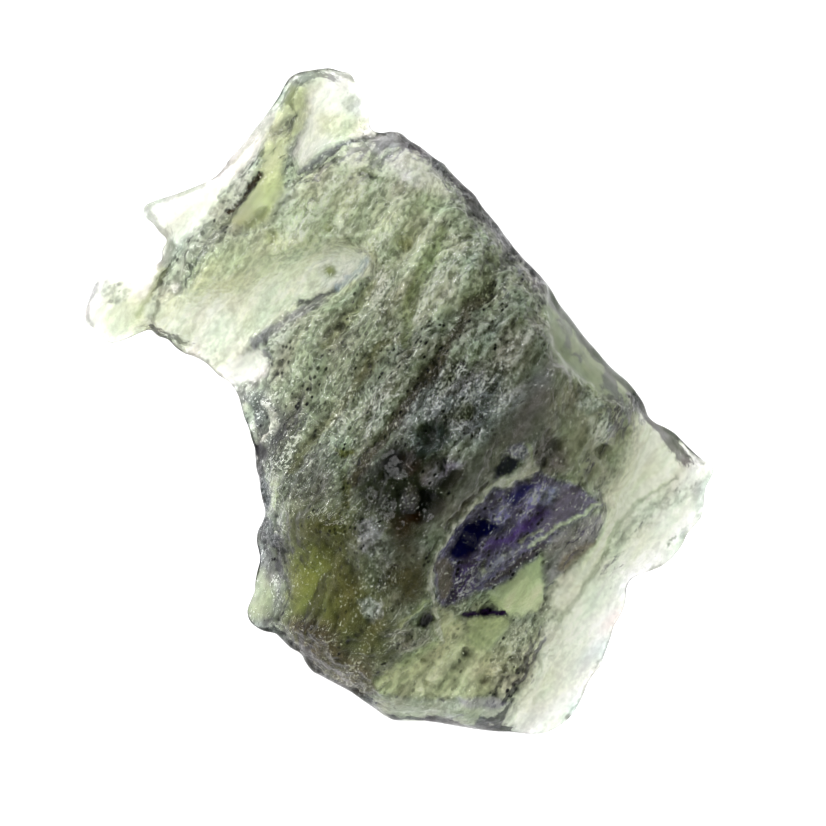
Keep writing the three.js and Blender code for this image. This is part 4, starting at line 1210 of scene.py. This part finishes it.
def frost_and_glint_specks(weave, flow, frosted):
    """1 on the bright specks, partly frost and partly painted glints, of which there are more where it is
    frosted, 0 elsewhere.
    """
    grains = weave.add(
        "ShaderNodeTexNoise", {"Vector": flow, "Scale": SPECK_GRAIN, "Detail": 3.0, "Roughness": 0.8}
    )
    low = weave.sum("SUBTRACT", 0.68, weave.sum("MULTIPLY", frosted, 0.13))
    bright = weave.stretch(grains.outputs["Fac"], low, weave.sum("ADD", low, 0.04))
    return weave.sum("MULTIPLY", bright, weave.stretch(frosted, 0.0, 0.15))


def glass_tint(weave, flow, holes):
    """The tint of each zone, with painted shade in its pits, knobs, and pale specks that are partly frost and
    partly painted glints.
    """
    knobs = weave.add("ShaderNodeTexNoise", {"Vector": flow, "Scale": KNOB_GRAIN, "Detail": 3.0})
    level = weave.stretch(knobs.outputs["Fac"], 0.37, 0.63, 0.4, 1.5)
    grey = weave.add("ShaderNodeCombineColor", {"Red": level, "Green": level, "Blue": level}).outputs["Color"]
    parts = {channel: weave.reading(f"tint {channel}") for channel in CHANNELS}
    plain = weave.add("ShaderNodeCombineColor", parts).outputs["Color"]
    peak = weave.sum("MAXIMUM", weave.sum("MAXIMUM", parts["Red"], parts["Green"]), parts["Blue"])
    hue = {channel: weave.sum("DIVIDE", part, peak) for channel, part in parts.items()}
    pure = weave.add("ShaderNodeCombineColor", hue).outputs["Color"]
    frost = weave.mixed(0.3, FROST_AND_GLINT_WHITE, pure)
    tint = weave.mixed(weave.reading("etched"), plain, grey, "MULTIPLY")
    # Painted shade: the tint is darkened in the hollows and small holes, as far as the pitted value says.
    pitted = weave.reading("pitted")
    hollow = weave.sum("MAXIMUM", weave.reading("hollow"), holes)
    dark = weave.sum("MULTIPLY", hollow, pitted)
    shaded = weave.mixed(dark, tint, PIT_SHADE, "MULTIPLY")
    # Painted glints, partly real frost: pale specks, dimmed where the painted shade in the pits is deep.
    specks = frost_and_glint_specks(weave, flow, weave.reading("frosted"))
    lit = weave.sum("MULTIPLY", specks, weave.stretch(dark, 0.0, 0.6, 1.0, 0.25))
    return weave.mixed(lit, shaded, frost)


def satin(weave, place, etched):
    """Roughness: low on the scars, higher and uneven where the glass is etched."""
    cloud = weave.add("ShaderNodeTexNoise", {"Vector": place, "Scale": SATIN_GRAIN, "Detail": 1.0})
    level = weave.stretch(cloud.outputs["Fac"], 0.3, 0.7, 0.05, 0.14)
    return weave.sum("MAXIMUM", weave.sum("MULTIPLY", level, etched), SMOOTHEST)


def fine_pitting(weave, place, etched, holes):
    """The finest pits, too small for the mesh, as a bump that fades on the scars."""
    grain = weave.add("ShaderNodeTexNoise", {"Vector": place, "Scale": BUMP_GRAIN, "Detail": 2.0})
    height = weave.sum("SUBTRACT", grain.outputs["Fac"], weave.sum("MULTIPLY", holes, 0.45))
    strength = weave.sum("MULTIPLY", etched, 0.9)
    bump = weave.add("ShaderNodeBump", {"Height": height, "Distance": BUMP_HEIGHT, "Strength": strength})
    return bump.outputs["Normal"]


def middle():
    return (Vector(SOLID_BOX[0]) + Vector(SOLID_BOX[1])) / 2


# Half the floor's width and its distance under the stone, in metres.
FLOOR_REACH = 4.0
FLOOR_GAP = 0.00003


def lay_floor(settings):
    """A white floor that glows like a light table, just under the stone."""
    mesh = bpy.data.meshes.new("floor")
    signs = ((-1, -1), (1, -1), (1, 1), (-1, 1))
    corners = [(x * FLOOR_REACH, y * FLOOR_REACH, -FLOOR_GAP) for x, y in signs]
    mesh.from_pydata(corners, [], [(0, 1, 2, 3)])
    floor = bpy.data.objects.new("floor", mesh)
    bpy.context.scene.collection.objects.link(floor)
    material = bpy.data.materials.new("lit white floor")
    weave = Weave(material)
    surface = weave.add(
        "ShaderNodeBsdfPrincipled",
        {
            "Base Color": (0.1, 0.1, 0.1, 1), "Roughness": 1.0, "Specular IOR Level": 0.0,
            "Emission Color": (1, 1, 1, 1), "Emission Strength": settings.floor_glow,
        },
    )
    weave.add("ShaderNodeOutputMaterial", {"Surface": surface.outputs["BSDF"]})
    mesh.materials.append(material)


# From the stone's middle to each lamp, in metres.
LAMP_DISTANCE = 0.25


def hang_lamp(name, azimuth, elevation, size, power):
    """A soft square lamp that faces the stone."""
    data = bpy.data.lights.new(name, "AREA")
    data.shape = "SQUARE"
    data.size = size
    data.energy = power
    lamp = bpy.data.objects.new(name, data)
    turn, rise = math.radians(azimuth), math.radians(elevation)
    away = Vector((math.cos(turn) * math.cos(rise), math.sin(turn) * math.cos(rise), math.sin(rise)))
    lamp.location = middle() + LAMP_DISTANCE * away
    lamp.rotation_euler = away.to_track_quat("Z", "Y").to_euler()
    lamp.visible_camera = False
    bpy.context.scene.collection.objects.link(lamp)


# The camera's sensor in millimetres, and its nearest sight and the outline's height in metres.
SENSOR_WIDTH = 36
NEAREST_SEEN = 0.001
OUTLINE_HEIGHT = 0.001


def aim_camera(settings):
    """Straight down, with the photograph's framing at the height of the stone's outline."""
    data = bpy.data.cameras.new("camera")
    data.lens = settings.lens
    data.sensor_width = SENSOR_WIDTH
    data.clip_start = NEAREST_SEEN
    camera = bpy.data.objects.new("camera", data)
    bpy.context.scene.collection.objects.link(camera)
    frame_width = PHOTO_WIDTH * PIXEL_MM * MM
    centre = on_plan([(PHOTO_WIDTH / 2, PHOTO_WIDTH / 2)])[0] * MM
    height = frame_width * data.lens / data.sensor_width
    camera.location = (centre[0], centre[1], height + OUTLINE_HEIGHT)
    bpy.context.scene.camera = camera


def fill_air(settings):
    """A pale glow all round, that fades towards the top."""
    world = bpy.data.worlds.new("studio")
    weave = Weave(world)
    way = weave.add("ShaderNodeTexCoord").outputs["Generated"]
    height = weave.add("ShaderNodeSeparateXYZ", {"Vector": way}).outputs["Z"]
    glow = weave.stretch(height, 0.05, 0.5, settings.air_glow, settings.sky_glow)
    air = weave.add("ShaderNodeBackground", {"Color": (1, 1, 1, 1), "Strength": glow})
    weave.add("ShaderNodeOutputWorld", {"Surface": air.outputs["Background"]})
    bpy.context.scene.world = world


class MOLDAVITE_OT_stone(bpy.types.Operator):
    """Makes the stone's fine, pitted mesh and its glass"""

    bl_idname = "moldavite.stone"
    bl_label = "Raw Stone"

    def execute(self, context):
        settings = context.scene.moldavite_stone
        corners, tiles, tree = fine_mesh(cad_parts["moldavite"], settings)
        corners, look = carve(corners, tiles, tree, settings)
        mesh = stone_mesh(corners, tiles, look)
        mesh.materials.append(glass_material(settings))
        stone = bpy.data.objects.new("moldavite_glass", mesh)
        context.scene.collection.objects.link(stone)
        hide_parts("moldavite")
        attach(stone, "root")
        return {"FINISHED"}


class MOLDAVITE_OT_stage(bpy.types.Operator):
    """Lays the lit floor and sets the lamps and the camera"""

    bl_idname = "moldavite.stage"
    bl_label = "Lit Stage"

    def execute(self, context):
        settings = context.scene.moldavite_stage
        lay_floor(settings)
        fill_air(settings)
        hang_lamp("key lamp", 140, 32, 0.14, settings.key_power)
        hang_lamp("right lamp", 30, 40, 0.18, settings.fill_power)
        hang_lamp("front lamp", 265, 40, 0.18, settings.fill_power)
        aim_camera(settings)
        scene = context.scene
        scene.view_settings.view_transform = "Standard"
        scene.cycles.max_bounces = 14
        scene.cycles.transmission_bounces = 12
        return {"FINISHED"}


class MOLDAVITE_PT_panel(bpy.types.Panel):
    """Lists the stone and its stage"""

    bl_label = "Raw Moldavite"
    bl_idname = "MOLDAVITE_PT_panel"
    bl_space_type = "VIEW_3D"
    bl_region_type = "UI"
    bl_category = "Moldavite"

    def draw(self, context):
        layout = self.layout
        for group, operator in (
            (context.scene.moldavite_stone, MOLDAVITE_OT_stone),
            (context.scene.moldavite_stage, MOLDAVITE_OT_stage),
        ):
            for name in group.__annotations__:
                layout.prop(group, name)
            layout.operator(operator.bl_idname)


CLASSES = (
    StoneSettings, StageSettings, MOLDAVITE_OT_stone, MOLDAVITE_OT_stage, MOLDAVITE_PT_panel,
)


def register():
    for cls in CLASSES:
        bpy.utils.register_class(cls)
    bpy.types.Scene.moldavite_stone = PointerProperty(type=StoneSettings)
    bpy.types.Scene.moldavite_stage = PointerProperty(type=StageSettings)


def unregister():
    del bpy.types.Scene.moldavite_stage
    del bpy.types.Scene.moldavite_stone
    for cls in reversed(CLASSES):
        bpy.utils.unregister_class(cls)


def main():
    register()
    bpy.ops.moldavite.stage()
    bpy.ops.moldavite.stone()


if __name__ == "__main__":
    main()
